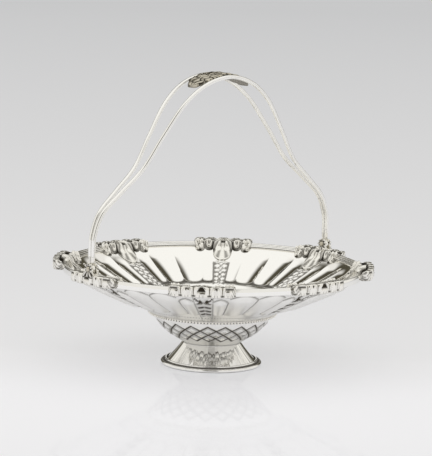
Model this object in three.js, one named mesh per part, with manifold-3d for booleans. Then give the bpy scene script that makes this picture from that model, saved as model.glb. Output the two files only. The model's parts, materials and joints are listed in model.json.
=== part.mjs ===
// Swing-handle basket in silver: a raised bowl on a hollow trumpet foot, a border of cast ornaments
// and plain reeded lengths, and a bail handle of two wires that spread to carry a cast cartouche.
// Millimetres, +Z up. The origin is on the surface that the basket stands on, under the bowl's
// middle, and the handle's two pivots lie on a line along X.
import * as THREE from "three";
import { mergeVertices } from "three/addons/utils/BufferGeometryUtils.js";
import Module from "manifold-3d";

const wasm = await Module();
wasm.setup();

// Fits and facets
const SOLDER_GAP = 0.3; // between pieces that are soldered together or turn in each other
const CIRCLE_STEPS = 40; // facets round the foot, the cup and the beaded wire
const FLUTE_STEPS = 3; // facets across one flute

// Foot
const FOOT_NECK_RADIUS = 28.4;
const FOOT_HEM_RADIUS = 42.4;
const FOOT_TOP = 21.6;
const FOOT_WALL = 1.4;
const FOOT_HOLLOW_SAG = 1.7; // how far the trumpet's side curves in from a straight cone
const BASE_RING_RADIUS = 49.1;
const BASE_RING_HEIGHT = 5.6;
const BASE_BEAD_RADIUS = 1.75; // the round lower moulding
const BASE_FACE_WIDTH = 2.8; // the flat that the basket stands on
const HEM_LEDGE_HEIGHT = 4.2; // the ledge inside the ring that takes the trumpet's hem
const HEM_LEDGE_THICKNESS = 1.3;
const UPPER_BEAD_START = -60; // degrees, where the thin upper moulding leaves the lower one

// Bowl
const BOWL_WALL = 1.3;
const CUP_BASE_RADIUS = 27.6;
const CUP_RADIUS = 60;
const CUP_HEIGHT = 29.5;
const CUP_BULGE = 2.8; // how far the cup's side rounds out from a straight cone
const STEP_WIDTH = 1.8; // the shoulder between the cup and the dish
const STEP_RISE = 0.6;
const DISH_RADIUS = 139.5;
const DISH_HEIGHT = 40.2;
const DISH_LOWER_SLOPE = 26; // degrees above level, where the dish leaves the shoulder
const DISH_UPPER_SLOPE = 48; // degrees above level, where it turns out under the border
const FLANGE_WIDTH = 3.2;
const BEAD_WIRE_RADIUS = 0.9;
const BEAD_WIRE_FACETS = 5;

// Panels: each has one chased strip, in line with an ornament, and four flutes
const PANELS = 8;
const DIVISIONS = 5; // one strip and four flutes, all of one width
const FLUTE_DEPTH = 2.6;
const FLUTE_FOOT_RADIUS = 83;
const FLUTE_TOP_INSET = 2; // from the dish's edge to the tops of the middle flutes
const SHORT_FLUTE_DROP = 7; // how much lower the flutes beside a strip end
const FLUTE_END_LENGTH = 7; // the rounded ends

// Border
const RIM_FACE_THICKNESS = 3.2; // of the plain border's outer face, which wraps the bowl's edge
const RIM_THICKNESS = 4;
const RIM_SKIRT = 3; // how far the border's outer face hangs below the bowl's edge
const RIM_INNER_LAP = 1.4; // how far it reaches in past the dish's edge
const RIM_HEM_SET = 1; // how far the hem of the skirt is set in from the face
const RIM_FACE_SWELL = 0.4;
const RIM_TOP_ROUND = 0.9; // the rounded corner between the face and the reeds
const REED_FALL = 0.9; // how far each furrow between the reeds lies below the one outside it
const REED_CREST = 0.5; // how far a reed stands above the furrow outside it
const ORNAMENT_HALF_ANGLE = 11.8;
const ORNAMENT_REACH = 9; // how far an ornament stands out past the plain border
const ORNAMENT_RISE = 4; // how far its top stands above the plain border
const ORNAMENT_CROWN = 0.4; // how far its ground rounds up between its two edges
const ORNAMENT_EDGE_ROUND = 1.2; // the rounded corner between its face and its top
const ORNAMENT_HEM_SET = 2; // how far the hem of its face is set in
const ORNAMENT_GROUND_DROP = 0.4; // its ground below the plain border's top, at the outer edge
const ORNAMENT_GROUND_FALL = 1.6; // how much lower the ground lies at the inner edge
const PENDANT_REACH = 14; // how far in the shell inside the bowl reaches, measured level
const EDGE_REACH = 0.2; // how far in the edge beside the shell reaches
const PENDANT_HALF_ANGLE = 4.4;
const PENDANT_THICKNESS = 2.2;
const PENDANT_EDGE = 0.6; // thickness of the ornament's inner edge beside the shell

// Pivots
const PIVOT_OUTSET = 2.3; // the eyes' middle planes outside the plain border's face
const PIVOT_RISE = 7.6; // the pin's axis above the top of the plain border
const LUG_SEAT_DEPTH = 0; // the lug's seat, level with the top of the plain border
const PIN_RADIUS = 1.5;
const PIN_HEAD_RADIUS = 2.6;
const PIN_HEAD_THICKNESS = 1.3;
const EYE_RADIUS = 4;
const EYE_THICKNESS = 3.6;
const CHEEK_THICKNESS = 1.8;
const CHEEK_RADIUS = 4.8;
const LUG_BASE_HALF_WIDTH = 7;
const LUG_BASE_THICKNESS = 2;

// Handle
const WIRE_DIAMETER = 4;
const HANDLE_RISE = 173.5; // from the pin's axis to the middle of the wires at the top
const HANDLE_SPREAD = 17.6; // from the handle's middle plane to each wire, at the top
const SPREAD_START = 40; // above the pins' axis the wires lie side by side up to this height
const SOCKET_BOTTOM = 7.2; // both above the pins' axis
const SOCKET_TOP = 11;
const SOCKET_WALL = 0.6;
const CARTOUCHE_LENGTH = 67;
const CARTOUCHE_THICKNESS = 2.4;
const CARTOUCHE_RELIEF = 2.2;

// The handle's outline from a pivot to the top: shares of the half span and of the rise.
const HANDLE_SHARES = [
  [1, 0.11],
  [0.993, 0.175],
  [0.939, 0.286],
  [0.795, 0.401],
  [0.642, 0.516],
  [0.503, 0.689],
  [0.351, 0.862],
  [0.194, 0.96],
  [0, 1],
];

// Heights and radii that follow
const bowlBottom = FOOT_TOP + SOLDER_GAP;
const cupTop = bowlBottom + CUP_HEIGHT;
const dishFoot = { radius: CUP_RADIUS + STEP_WIDTH, height: cupTop + STEP_RISE };
const flangeBottom = dishFoot.height + DISH_HEIGHT;
const rimBottom = flangeBottom + BOWL_WALL + SOLDER_GAP;
const rimTop = rimBottom + RIM_THICKNESS;
const skirtInner = DISH_RADIUS + FLANGE_WIDTH + SOLDER_GAP;
const rimRadius = skirtInner + RIM_FACE_THICKNESS;
const pivotHeight = rimTop + PIVOT_RISE;
const pivotX = rimRadius + PIVOT_OUTSET;
const lugSeat = rimTop - LUG_SEAT_DEPTH;
const wireRadius = WIRE_DIAMETER / 2;
const closeSpread = wireRadius + SOLDER_GAP / 2;
const panelAngle = 360 / PANELS;
const divisionAngle = panelAngle / DIVISIONS;
const fineSteps = PANELS * DIVISIONS * FLUTE_STEPS;

const radians = THREE.MathUtils.degToRad;
const clamp = THREE.MathUtils.clamp;
const lerp = THREE.MathUtils.lerp;

// Materials
function silver(colour, roughness) {
  return new THREE.MeshStandardMaterial({ color: colour, metalness: 1, roughness });
}

const polishedSilver = silver(0xe9e6de, 0.16);
const castSilver = silver(0xc9c5ba, 0.3);
const darkenedSilver = silver(0x77736a, 0.42);
const pinSilver = silver(0xd6d3ca, 0.25);

// Geometry helpers
function polar(radius, angle, height) {
  const turn = radians(angle);
  return new THREE.Vector3(radius * Math.cos(turn), radius * Math.sin(turn), height);
}

// A mesh of loose triangles, turned to face out if it came out inside out.
function closedGeometry(corners) {
  let volume = 0;
  for (let i = 0; i < corners.length; i += 3) {
    volume += corners[i].dot(corners[i + 1].clone().cross(corners[i + 2]));
  }
  if (volume < 0) corners.reverse();
  return new THREE.BufferGeometry().setFromPoints(corners);
}

function addQuad(corners, a, b, c, d) {
  corners.push(a, b, c, a, c, d);
}

// A solid through matching closed outlines. `place(point, i)` puts a point of outline i in space.
function loft(outlines, place) {
  const corners = [];
  const rows = outlines.map((outline, i) => outline.map((point) => place(point, i)));
  const count = rows[0].length;
  for (let i = 0; i + 1 < rows.length; i += 1) {
    for (let j = 0; j < count; j += 1) {
      const next = (j + 1) % count;
      addQuad(corners, rows[i][j], rows[i + 1][j], rows[i + 1][next], rows[i][next]);
    }
  }
  const ends = [0, rows.length - 1];
  for (const end of ends) {
    const faces = THREE.ShapeUtils.triangulateShape(outlines[end], []);
    for (const [a, b, c] of faces) {
      const row = rows[end];
      if (end === 0) corners.push(row[a], row[b], row[c]);
      else corners.push(row[a], row[c], row[b]);
    }
  }
  return closedGeometry(corners);
}

// A closed profile of radius and height turned about the Z axis.
function turned(profile, steps = CIRCLE_STEPS) {
  const corners = [];
  const count = profile.length;
  const point = (j, i) => polar(profile[j].x, (360 * (i % steps)) / steps, profile[j].y);
  for (let i = 0; i < steps; i += 1) {
    for (let j = 0; j < count; j += 1) {
      const next = (j + 1) % count;
      addQuad(corners, point(j, i), point(j, i + 1), point(next, i + 1), point(next, i));
    }
  }
  return closedGeometry(corners);
}

function arcPoints(centreRadius, centreHeight, radius, from, to, steps) {
  const points = [];
  for (let i = 0; i <= steps; i += 1) {
    const turn = radians(lerp(from, to, i / steps));
    points.push(
      new THREE.Vector2(
        centreRadius + radius * Math.cos(turn),
        centreHeight + radius * Math.sin(turn),
      ),
    );
  }
  return points;
}

// A point on the arc that bulges by `sag` to the right of the line from start to end.
function sagging(start, end, sag, share) {
  const along = end.clone().sub(start);
  const aside = new THREE.Vector2(along.y, -along.x).normalize();
  const bulge = 4 * sag * share * (1 - share);
  return start.clone().addScaledVector(along, share).addScaledVector(aside, bulge);
}

function solidOf(geometry) {
  const bare = geometry.clone();
  bare.deleteAttribute("normal");
  bare.deleteAttribute("uv");
  const merged = mergeVertices(bare, 1e-4);
  return new wasm.Manifold(
    new wasm.Mesh({
      numProp: 3,
      vertProperties: merged.attributes.position.array,
      triVerts: new Uint32Array(merged.index.array),
    }),
  );
}

function geometryOf(solid) {
  const mesh = solid.getMesh();
  return new THREE.BufferGeometry()
    .setAttribute("position", new THREE.BufferAttribute(mesh.vertProperties, 3))
    .setIndex(new THREE.BufferAttribute(mesh.triVerts, 1));
}

// A box between two corners, as a solid to cut with.
function block(low, high) {
  const size = high.clone().sub(low);
  const middle = low.clone().add(high).multiplyScalar(0.5);
  return solidOf(
    new THREE.BoxGeometry(size.x, size.y, size.z).translate(middle.x, middle.y, middle.z),
  );
}

// An outline in Y and Z, extruded along X and centred on x = 0.
function slab(outline, thickness, curveSteps = 6) {
  const options = { depth: thickness, bevelEnabled: false, curveSegments: curveSteps };
  return new THREE.ExtrudeGeometry(outline, options)
    .translate(0, 0, -thickness / 2)
    .rotateY(Math.PI / 2)
    .rotateX(Math.PI / 2);
}

// The bowl's outer profile
const dishCurve = (() => {
  const start = new THREE.Vector2(dishFoot.radius, dishFoot.height);
  const end = new THREE.Vector2(DISH_RADIUS, flangeBottom);
  const chord = end.distanceTo(start);
  const lower = radians(DISH_LOWER_SLOPE);
  const upper = radians(DISH_UPPER_SLOPE);
  const lowerPull = new THREE.Vector2(Math.cos(lower), Math.sin(lower)).multiplyScalar(0.45 * chord);
  const upperPull = new THREE.Vector2(Math.cos(upper), Math.sin(upper)).multiplyScalar(0.16 * chord);
  return new THREE.CubicBezierCurve(
    start,
    start.clone().add(lowerPull),
    end.clone().sub(upperPull),
    end,
  );
})();

// The share of the dish's curve at which it reaches a radius, found by halving.
function dishShare(radius) {
  let low = 0;
  let high = 1;
  for (let i = 0; i < 30; i += 1) {
    const middle = (low + high) / 2;
    if (dishCurve.getPoint(middle).x < radius) low = middle;
    else high = middle;
  }
  return (low + high) / 2;
}

// The point of the dish's outer face at a radius, and the direction that faces into the bowl.
function dishAt(radius) {
  const share = dishShare(radius);
  const tangent = dishCurve.getTangent(share);
  return { point: dishCurve.getPoint(share), inward: new THREE.Vector2(-tangent.y, tangent.x) };
}

// How deep the flutes are at a place, measured out from the plain dish.
function fluteDepth(radius, angle) {
  const place = (((angle / divisionAngle + 0.5) % DIVISIONS) + DIVISIONS) % DIVISIONS;
  const division = Math.floor(place);
  if (division === 0) return 0; // the chased strip
  const across = 2 * (place - division) - 1;
  const beside = division === 1 || division === DIVISIONS - 1;
  const top = DISH_RADIUS - FLUTE_TOP_INSET - (beside ? SHORT_FLUTE_DROP : 0);
  const toFoot = (radius - FLUTE_FOOT_RADIUS) / FLUTE_END_LENGTH;
  const toTop = (top - radius) / FLUTE_END_LENGTH;
  const ends = clamp(toFoot, 0, 1) * clamp(toTop - across * across, 0, 1);
  return FLUTE_DEPTH * (1 - across * across) * Math.sqrt(ends);
}

// The rings of the bowl from its middle to its edge. `fine` rings have the flutes' facets.
function bowlRings() {
  const rings = [];
  const cupStart = new THREE.Vector2(CUP_BASE_RADIUS, bowlBottom);
  const cupEnd = new THREE.Vector2(CUP_RADIUS, cupTop);
  for (const share of [0, 0.27, 0.53, 0.78, 1]) {
    rings.push({ point: sagging(cupStart, cupEnd, CUP_BULGE, share), fine: false });
  }
  rings.push({ point: dishCurve.getPoint(0), fine: false });
  const plain = lerp(dishFoot.radius, FLUTE_FOOT_RADIUS, 0.55);
  rings.push({ point: dishAt(plain).point, fine: false });
  for (const share of [0, 0.14, 0.48, 0.78, 0.93]) {
    const radius = lerp(FLUTE_FOOT_RADIUS, DISH_RADIUS, share);
    rings.push({ point: dishAt(radius).point, fine: true });
  }
  rings.push({ point: dishCurve.getPoint(1), fine: true });
  rings.push({ point: new THREE.Vector2(DISH_RADIUS + FLANGE_WIDTH, flangeBottom), fine: true });
  return rings;
}

// The direction into the bowl at a ring, square to the profile there.
function ringInward(rings, i) {
  const before = rings[Math.max(i - 1, 0)].point;
  const after = rings[Math.min(i + 1, rings.length - 1)].point;
  const along = after.clone().sub(before).normalize();
  if (i === 0 || i === rings.length - 1) return new THREE.Vector2(0, 1);
  return new THREE.Vector2(-along.y, along.x);
}

// One face of the bowl: the outer one at offset 0, the inner one a wall's thickness in.
function bowlFace(rings, offset) {
  return rings.map(({ point, fine }, i) => {
    const steps = fine ? fineSteps : CIRCLE_STEPS;
    const inward = ringInward(rings, i);
    const row = [];
    for (let j = 0; j < steps; j += 1) {
      const turn = (360 * j) / steps - divisionAngle / 2;
      const depth = fine && i < rings.length - 2 ? fluteDepth(point.x, turn) : 0;
      const place = point.clone().addScaledVector(inward, offset - depth);
      row.push(polar(place.x, turn, place.y));
    }
    return row;
  });
}

// Triangles between two rings, where the outer one may have a whole multiple of the inner's steps.
function joinRings(corners, inner, outer) {
  const ratio = outer.length / inner.length;
  for (let j = 0; j < inner.length; j += 1) {
    const next = (j + 1) % inner.length;
    for (let k = 0; k < ratio; k += 1) {
      const first = j * ratio + k;
      corners.push(inner[j], outer[first], outer[(first + 1) % outer.length]);
    }
    corners.push(inner[j], outer[((j + 1) * ratio) % outer.length], inner[next]);
  }
}

function bowl() {
  const rings = bowlRings();
  const outside = bowlFace(rings, 0);
  const inside = bowlFace(rings, BOWL_WALL);
  const under = [];
  const over = [];
  for (const [face, corners, height] of [
    [outside, under, bowlBottom],
    [inside, over, bowlBottom + BOWL_WALL],
  ]) {
    const middle = new THREE.Vector3(0, 0, height);
    face[0].forEach((point, j) => corners.push(middle, point, face[0][(j + 1) % face[0].length]));
    for (let i = 0; i + 1 < face.length; i += 1) joinRings(corners, face[i], face[i + 1]);
  }
  under.reverse();
  const edge = [];
  joinRings(edge, inside.at(-1), outside.at(-1));
  return closedGeometry([...under, ...over, ...edge]);
}

function beadWire() {
  const reach = BEAD_WIRE_RADIUS + SOLDER_GAP;
  const last = 360 - 360 / BEAD_WIRE_FACETS;
  const centre = { radius: CUP_RADIUS + reach, height: cupTop - reach };
  const steps = BEAD_WIRE_FACETS - 1;
  const section = arcPoints(centre.radius, centre.height, BEAD_WIRE_RADIUS, 0, last, steps);
  return turned(section);
}

// Foot
function foot() {
  const hem = new THREE.Vector2(FOOT_HEM_RADIUS, HEM_LEDGE_HEIGHT + SOLDER_GAP);
  const neck = new THREE.Vector2(FOOT_NECK_RADIUS, FOOT_TOP);
  const outer = [];
  const inner = [];
  const aside = neck.clone().sub(hem).normalize();
  const wall = FOOT_WALL / aside.y;
  const steps = 4;
  for (let i = 0; i <= steps; i += 1) {
    const point = sagging(hem, neck, -FOOT_HOLLOW_SAG, i / steps);
    outer.push(point);
    inner.unshift(new THREE.Vector2(point.x - wall, point.y));
  }
  return turned([...outer, ...inner]);
}

function footBaseRing() {
  const bead = BASE_BEAD_RADIUS;
  const beadCentre = BASE_RING_RADIUS - bead;
  const seat = FOOT_HEM_RADIUS + SOLDER_GAP;
  const upper = (BASE_RING_HEIGHT - 2 * bead) / 2; // the thin upper moulding
  const flatInner = beadCentre - BASE_FACE_WIDTH;
  const profile = [
    new THREE.Vector2(flatInner, 0),
    ...arcPoints(beadCentre, bead, bead, -90, 90, 5),
    ...arcPoints(seat + upper, 2 * bead + upper, upper, UPPER_BEAD_START, 90, 2),
    new THREE.Vector2(seat, BASE_RING_HEIGHT),
    new THREE.Vector2(seat, HEM_LEDGE_HEIGHT),
    new THREE.Vector2(seat - 2 * FOOT_WALL, HEM_LEDGE_HEIGHT),
    new THREE.Vector2(seat - 2 * FOOT_WALL, HEM_LEDGE_HEIGHT - HEM_LEDGE_THICKNESS),
  ];
  return turned(profile);
}

// Border: the plain lengths
function plainSection() {
  const lap = DISH_RADIUS - RIM_INNER_LAP;
  const skirtBottom = rimBottom - RIM_SKIRT;
  const face = (rimTop - skirtBottom) / 2;
  const reed = (rimRadius - lap) / 3;
  return [
    new THREE.Vector2(skirtInner, skirtBottom),
    new THREE.Vector2(rimRadius - RIM_HEM_SET, skirtBottom),
    new THREE.Vector2(rimRadius, skirtBottom + 0.5 * face),
    new THREE.Vector2(rimRadius + RIM_FACE_SWELL, skirtBottom + face),
    new THREE.Vector2(rimRadius, rimTop - 0.6 * RIM_TOP_ROUND),
    new THREE.Vector2(rimRadius - RIM_TOP_ROUND, rimTop),
    new THREE.Vector2(rimRadius - reed, rimTop - REED_FALL),
    new THREE.Vector2(rimRadius - 1.3 * reed, rimTop - REED_FALL + REED_CREST),
    new THREE.Vector2(rimRadius - 2 * reed, rimTop - 2 * REED_FALL),
    new THREE.Vector2(rimRadius - 2.3 * reed, rimTop - 2 * REED_FALL + REED_CREST),
    new THREE.Vector2(lap, rimBottom + REED_FALL),
    new THREE.Vector2(lap, rimBottom),
    new THREE.Vector2(skirtInner, rimBottom),
  ];
}

function rimPlain(middle) {
  const gapAngle = THREE.MathUtils.radToDeg(SOLDER_GAP / rimRadius);
  const half = panelAngle / 2 - ORNAMENT_HALF_ANGLE - gapAngle / 2;
  const steps = 5;
  const outlines = Array.from({ length: steps + 1 }, plainSection);
  return loft(outlines, (point, i) => {
    const angle = middle + lerp(-half, half, i / steps);
    return polar(point.x, angle, point.y);
  });
}

// A round swelling, 1 in its middle and 0 from its edge on.
function swelling(distance) {
  return Math.sqrt(Math.max(0, 1 - distance * distance));
}

// The relief of an ornament, from 0 to 1, at an angle from its middle and a share of the way from
// its outer face to its inner edge: a shell in the middle, then on each side a scroll and a flower.
function ornamentRelief(angle, across) {
  const side = Math.abs(angle);
  const ribs = 0.82 + 0.18 * Math.cos(radians(angle * 200));
  const shell = ribs * swelling(Math.hypot(side / 3.4, (across - 0.6) / 0.75));
  const scroll = 0.85 * swelling(Math.hypot((side - 5.4) / 2.3, (across - 0.45) / 0.5));
  const flower = 0.9 * swelling(Math.hypot((side - 9.8) / 2.2, (across - 0.45) / 0.5));
  return Math.max(shell, scroll, flower, 0.15);
}

// The outer edge of an ornament is scalloped: 0 in its notches, 1 on its lobes.
function ornamentScallop(angle) {
  const side = Math.abs(angle);
  const shell = swelling(side / 3);
  const scroll = 0.95 * swelling((side - 5) / 2.4);
  const flower = 0.85 * swelling((side - 9.5) / 2.5);
  return Math.max(shell, scroll, flower, 0.2);
}

// How far the ornament's inner edge hangs down the dish: the pendant shell in its middle.
function pendantShare(angle) {
  return swelling(angle / PENDANT_HALF_ANGLE);
}

function ornamentSection(angle) {
  const reach = rimRadius + ORNAMENT_REACH * ornamentScallop(angle);
  const skirtBottom = rimBottom - RIM_SKIRT;
  const lap = DISH_RADIUS - RIM_INNER_LAP;
  const top = (across) => {
    const radius = lerp(reach - ORNAMENT_EDGE_ROUND, lap, across);
    const crown = 4 * ORNAMENT_CROWN * across * (1 - across);
    const ground = rimTop - ORNAMENT_GROUND_DROP - ORNAMENT_GROUND_FALL * across + crown;
    const rise = ORNAMENT_RISE + ORNAMENT_GROUND_DROP;
    return new THREE.Vector2(radius, ground + rise * ornamentRelief(angle, across));
  };
  const hang = EDGE_REACH + PENDANT_REACH * pendantShare(angle);
  const pendantEnd = dishAt(lap - hang);
  const pendantMiddle = dishAt(lap - hang / 2);
  const lift = BOWL_WALL + SOLDER_GAP;
  const thick = lift + lerp(PENDANT_EDGE, PENDANT_THICKNESS, pendantShare(angle));
  const above = (place, offset) => place.point.clone().addScaledVector(place.inward, offset);
  return [
    new THREE.Vector2(skirtInner, skirtBottom),
    new THREE.Vector2(reach - ORNAMENT_HEM_SET, skirtBottom),
    new THREE.Vector2(reach, skirtBottom + RIM_SKIRT),
    new THREE.Vector2(reach, rimTop - ORNAMENT_EDGE_ROUND),
    top(0),
    top(0.3),
    top(0.6),
    top(0.9),
    above(pendantMiddle, thick),
    above(pendantEnd, lerp(lift + PENDANT_EDGE, thick, 0.6)),
    above(pendantEnd, lift),
    new THREE.Vector2(lap, rimBottom),
    new THREE.Vector2(skirtInner, rimBottom),
  ];
}

function rimOrnament(middle) {
  const steps = 18;
  const angles = Array.from({ length: steps + 1 }, (_, i) => {
    return lerp(-ORNAMENT_HALF_ANGLE, ORNAMENT_HALF_ANGLE, i / steps);
  });
  return loft(angles.map(ornamentSection), (point, i) => polar(point.x, middle + angles[i], point.y));
}

// An ornament that carries a pivot has a flat seat for the hinge lug.
function rimOrnamentWithSeat(middle) {
  const halfLug = EYE_THICKNESS / 2 + SOLDER_GAP + CHEEK_THICKNESS;
  const away = Math.cos(radians(middle));
  const seatWidth = LUG_BASE_HALF_WIDTH + SOLDER_GAP;
  const inner = away * (pivotX - halfLug - SOLDER_GAP);
  const outer = away * (rimRadius + 2 * ORNAMENT_REACH);
  const low = new THREE.Vector3(Math.min(inner, outer), -seatWidth, lugSeat - SOLDER_GAP);
  const high = new THREE.Vector3(Math.max(inner, outer), seatWidth, pivotHeight);
  return geometryOf(solidOf(rimOrnament(middle)).subtract(block(low, high)));
}

// Pivots: outlines are in Y and Z about the pin's axis
function hingeLug() {
  const base = lugSeat - pivotHeight;
  const outline = new THREE.Shape();
  outline.moveTo(-LUG_BASE_HALF_WIDTH, base);
  outline.lineTo(LUG_BASE_HALF_WIDTH, base);
  outline.quadraticCurveTo(CHEEK_RADIUS, base / 2, CHEEK_RADIUS, 0);
  outline.absarc(0, 0, CHEEK_RADIUS, 0, Math.PI, false);
  outline.quadraticCurveTo(-CHEEK_RADIUS, base / 2, -LUG_BASE_HALF_WIDTH, base);
  const bore = new THREE.Path();
  bore.absarc(0, 0, PIN_RADIUS + SOLDER_GAP, 0, 2 * Math.PI, true);
  outline.holes.push(bore);
  const halfSlot = EYE_THICKNESS / 2 + SOLDER_GAP;
  const whole = slab(outline, 2 * (halfSlot + CHEEK_THICKNESS));
  const slotFloor = base + LUG_BASE_THICKNESS;
  const slot = block(
    new THREE.Vector3(-halfSlot, -2 * LUG_BASE_HALF_WIDTH, slotFloor),
    new THREE.Vector3(halfSlot, 2 * LUG_BASE_HALF_WIDTH, 2 * CHEEK_RADIUS),
  );
  return geometryOf(solidOf(whole).subtract(slot));
}

// A pin with a domed head at each end, along X.
function hingePin() {
  const half = EYE_THICKNESS / 2 + 2 * SOLDER_GAP + CHEEK_THICKNESS;
  const tip = half + PIN_HEAD_THICKNESS;
  const end = [
    new THREE.Vector2(PIN_RADIUS, half),
    new THREE.Vector2(PIN_HEAD_RADIUS, half),
    new THREE.Vector2(0.8 * PIN_HEAD_RADIUS, half + 0.6 * PIN_HEAD_THICKNESS),
    new THREE.Vector2(0, tip),
  ];
  const other = end.map((point) => new THREE.Vector2(point.x, -point.y)).reverse();
  return new THREE.LatheGeometry([...other, ...end], 12).rotateZ(-Math.PI / 2);
}

// The cast end of the handle: an eye for the pin, a neck, and a socket that takes both wires.
function handleEnd() {
  const neck = 0.65 * EYE_RADIUS;
  const socketHalf = closeSpread + wireRadius + SOCKET_WALL;
  const eye = new THREE.Shape();
  const neckTurn = Math.acos(neck / EYE_RADIUS);
  eye.moveTo(neck, SOCKET_BOTTOM + SOLDER_GAP);
  eye.lineTo(-neck, SOCKET_BOTTOM + SOLDER_GAP);
  eye.absarc(0, 0, EYE_RADIUS, Math.PI - neckTurn, 2 * Math.PI + neckTurn, false);
  const bore = new THREE.Path();
  bore.absarc(0, 0, PIN_RADIUS + SOLDER_GAP, 0, 2 * Math.PI, true);
  eye.holes.push(bore);
  const socket = new THREE.Shape();
  const shoulder = lerp(SOCKET_BOTTOM, SOCKET_TOP, 0.35);
  socket.moveTo(-neck, SOCKET_BOTTOM);
  socket.lineTo(neck, SOCKET_BOTTOM);
  socket.lineTo(socketHalf, shoulder);
  socket.lineTo(socketHalf, SOCKET_TOP);
  socket.lineTo(-socketHalf, SOCKET_TOP);
  socket.lineTo(-socketHalf, shoulder);
  const eyeSolid = solidOf(slab(eye, EYE_THICKNESS));
  const socketSolid = solidOf(slab(socket, WIRE_DIAMETER + 2 * SOCKET_WALL));
  return geometryOf(eyeSolid.add(socketSolid));
}

// Handle
// The distance from the handle's middle plane to each wire, at a height above the pins' axis.
function spreadAt(height) {
  const share = clamp((height - SPREAD_START) / (HANDLE_RISE - SPREAD_START), 0, 1);
  return closeSpread + (HANDLE_SPREAD - closeSpread) * share ** 1.3;
}

// The middle of one wire from the left socket over the top to the right one.
function wirePath(side) {
  const place = (x, height) => {
    return new THREE.Vector3(x, side * spreadAt(height), pivotHeight + height);
  };
  const foot = SOCKET_TOP + SOLDER_GAP;
  const rising = [place(-pivotX, foot)];
  for (const [across, up] of HANDLE_SHARES) {
    rising.push(place(-pivotX * across, HANDLE_RISE * up));
  }
  const falling = rising.slice(0, -1).reverse();
  const mirrored = falling.map((point) => new THREE.Vector3(-point.x, point.y, point.z));
  return new THREE.CatmullRomCurve3([...rising, ...mirrored], false, "centripetal");
}

// Half-round wire with a reed along its face: eight sides.
function handleWire(side) {
  const section = new THREE.Shape();
  section.absarc(0, 0, wireRadius, 0, 2 * Math.PI, false);
  const options = { steps: 48, curveSegments: 4, extrudePath: wirePath(side), bevelEnabled: false };
  return new THREE.ExtrudeGeometry(section, options);
}

// The height of the wires' middle above the surface, and their spread, at a distance along X.
function wireAt(x) {
  const points = wirePath(1).getPoints(400);
  const after = points.findIndex((point) => point.x > x);
  const before = points[after - 1];
  const share = (x - before.x) / (points[after].x - before.x);
  return before.clone().lerp(points[after], share);
}

// The cartouche between the wires at the top: a cast leaf and shell plate that follows their arch.
function cartoucheOutline(share) {
  const wire = wireAt((share * CARTOUCHE_LENGTH) / 2);
  const room = wire.y - wireRadius - SOLDER_GAP;
  const lobes = 0.9 + 0.1 * Math.cos(radians(share * 1080));
  const taper = Math.sqrt(Math.max(0, 1 - share ** 4));
  const half = room * lerp(0.16, lobes, taper);
  const bottom = wire.z - CARTOUCHE_THICKNESS / 2;
  const edge = wire.z + CARTOUCHE_THICKNESS / 2;
  const points = [new THREE.Vector2(-half, bottom), new THREE.Vector2(half, bottom)];
  for (const across of [1, 0.66, 0.33, 0, -0.33, -0.66, -1]) {
    const ribs = 0.75 + 0.25 * Math.cos(radians(across * 540));
    const rise = CARTOUCHE_RELIEF * taper * (1 - across * across) * ribs;
    points.push(new THREE.Vector2(half * across, edge + rise));
  }
  return points;
}

function handleCartouche() {
  const steps = 18;
  const shares = Array.from({ length: steps + 1 }, (_, i) => lerp(-1, 1, i / steps));
  return loft(shares.map(cartoucheOutline), (point, i) => {
    return new THREE.Vector3((shares[i] * CARTOUCHE_LENGTH) / 2, point.x, point.y);
  });
}

// Assembly
function piece(name, geometry, material) {
  const mesh = new THREE.Mesh(geometry, material);
  mesh.name = name;
  return mesh;
}

const basket = new THREE.Group();
basket.add(piece("bowl", bowl(), polishedSilver));
basket.add(piece("bead_wire", beadWire(), castSilver));
basket.add(piece("foot", foot(), polishedSilver));
basket.add(piece("foot_base_ring", footBaseRing(), polishedSilver));

for (let panel = 0; panel < PANELS; panel += 1) {
  const angle = panel * panelAngle;
  const carriesPivot = angle === 0 || angle === 180;
  const ornament = carriesPivot ? rimOrnamentWithSeat(angle) : rimOrnament(angle);
  basket.add(piece(`rim_ornament_${panel + 1}`, ornament, castSilver));
  basket.add(piece(`rim_plain_${panel + 1}`, rimPlain(angle + panelAngle / 2), polishedSilver));
}

const handle = new THREE.Group();
handle.add(piece("handle_wire_front", handleWire(-1), polishedSilver));
handle.add(piece("handle_wire_back", handleWire(1), polishedSilver));
handle.add(piece("handle_cartouche", handleCartouche(), darkenedSilver));

for (const [side, x] of [
  ["left", -pivotX],
  ["right", pivotX],
]) {
  const lug = piece(`hinge_lug_${side}`, hingeLug(), castSilver);
  const pin = piece(`hinge_pin_${side}`, hingePin(), pinSilver);
  const end = piece(`handle_end_${side}`, handleEnd(), castSilver);
  for (const mesh of [lug, pin, end]) mesh.position.set(x, 0, pivotHeight);
  basket.add(lug, pin);
  handle.add(end);
}

const assembly = new THREE.Group();
assembly.add(basket, handle);

export default assembly;
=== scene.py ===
# %% [markdown]
# A silver swing-handle basket, dressed for its portrait.
# The construction (sizes, pieces, hinge) comes packed as a fixed frame, and this lesson gives every
# piece its fine surface: chased flutes, a trellis, beads, cast ornaments and a reeded handle.
# Nearly every surface here is worked out with numpy as a grid of points, because a silversmith's
# forms (raised, turned, drawn and cast) follow simple rules that a formula can state.

# %% Load the frame
import json

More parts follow.
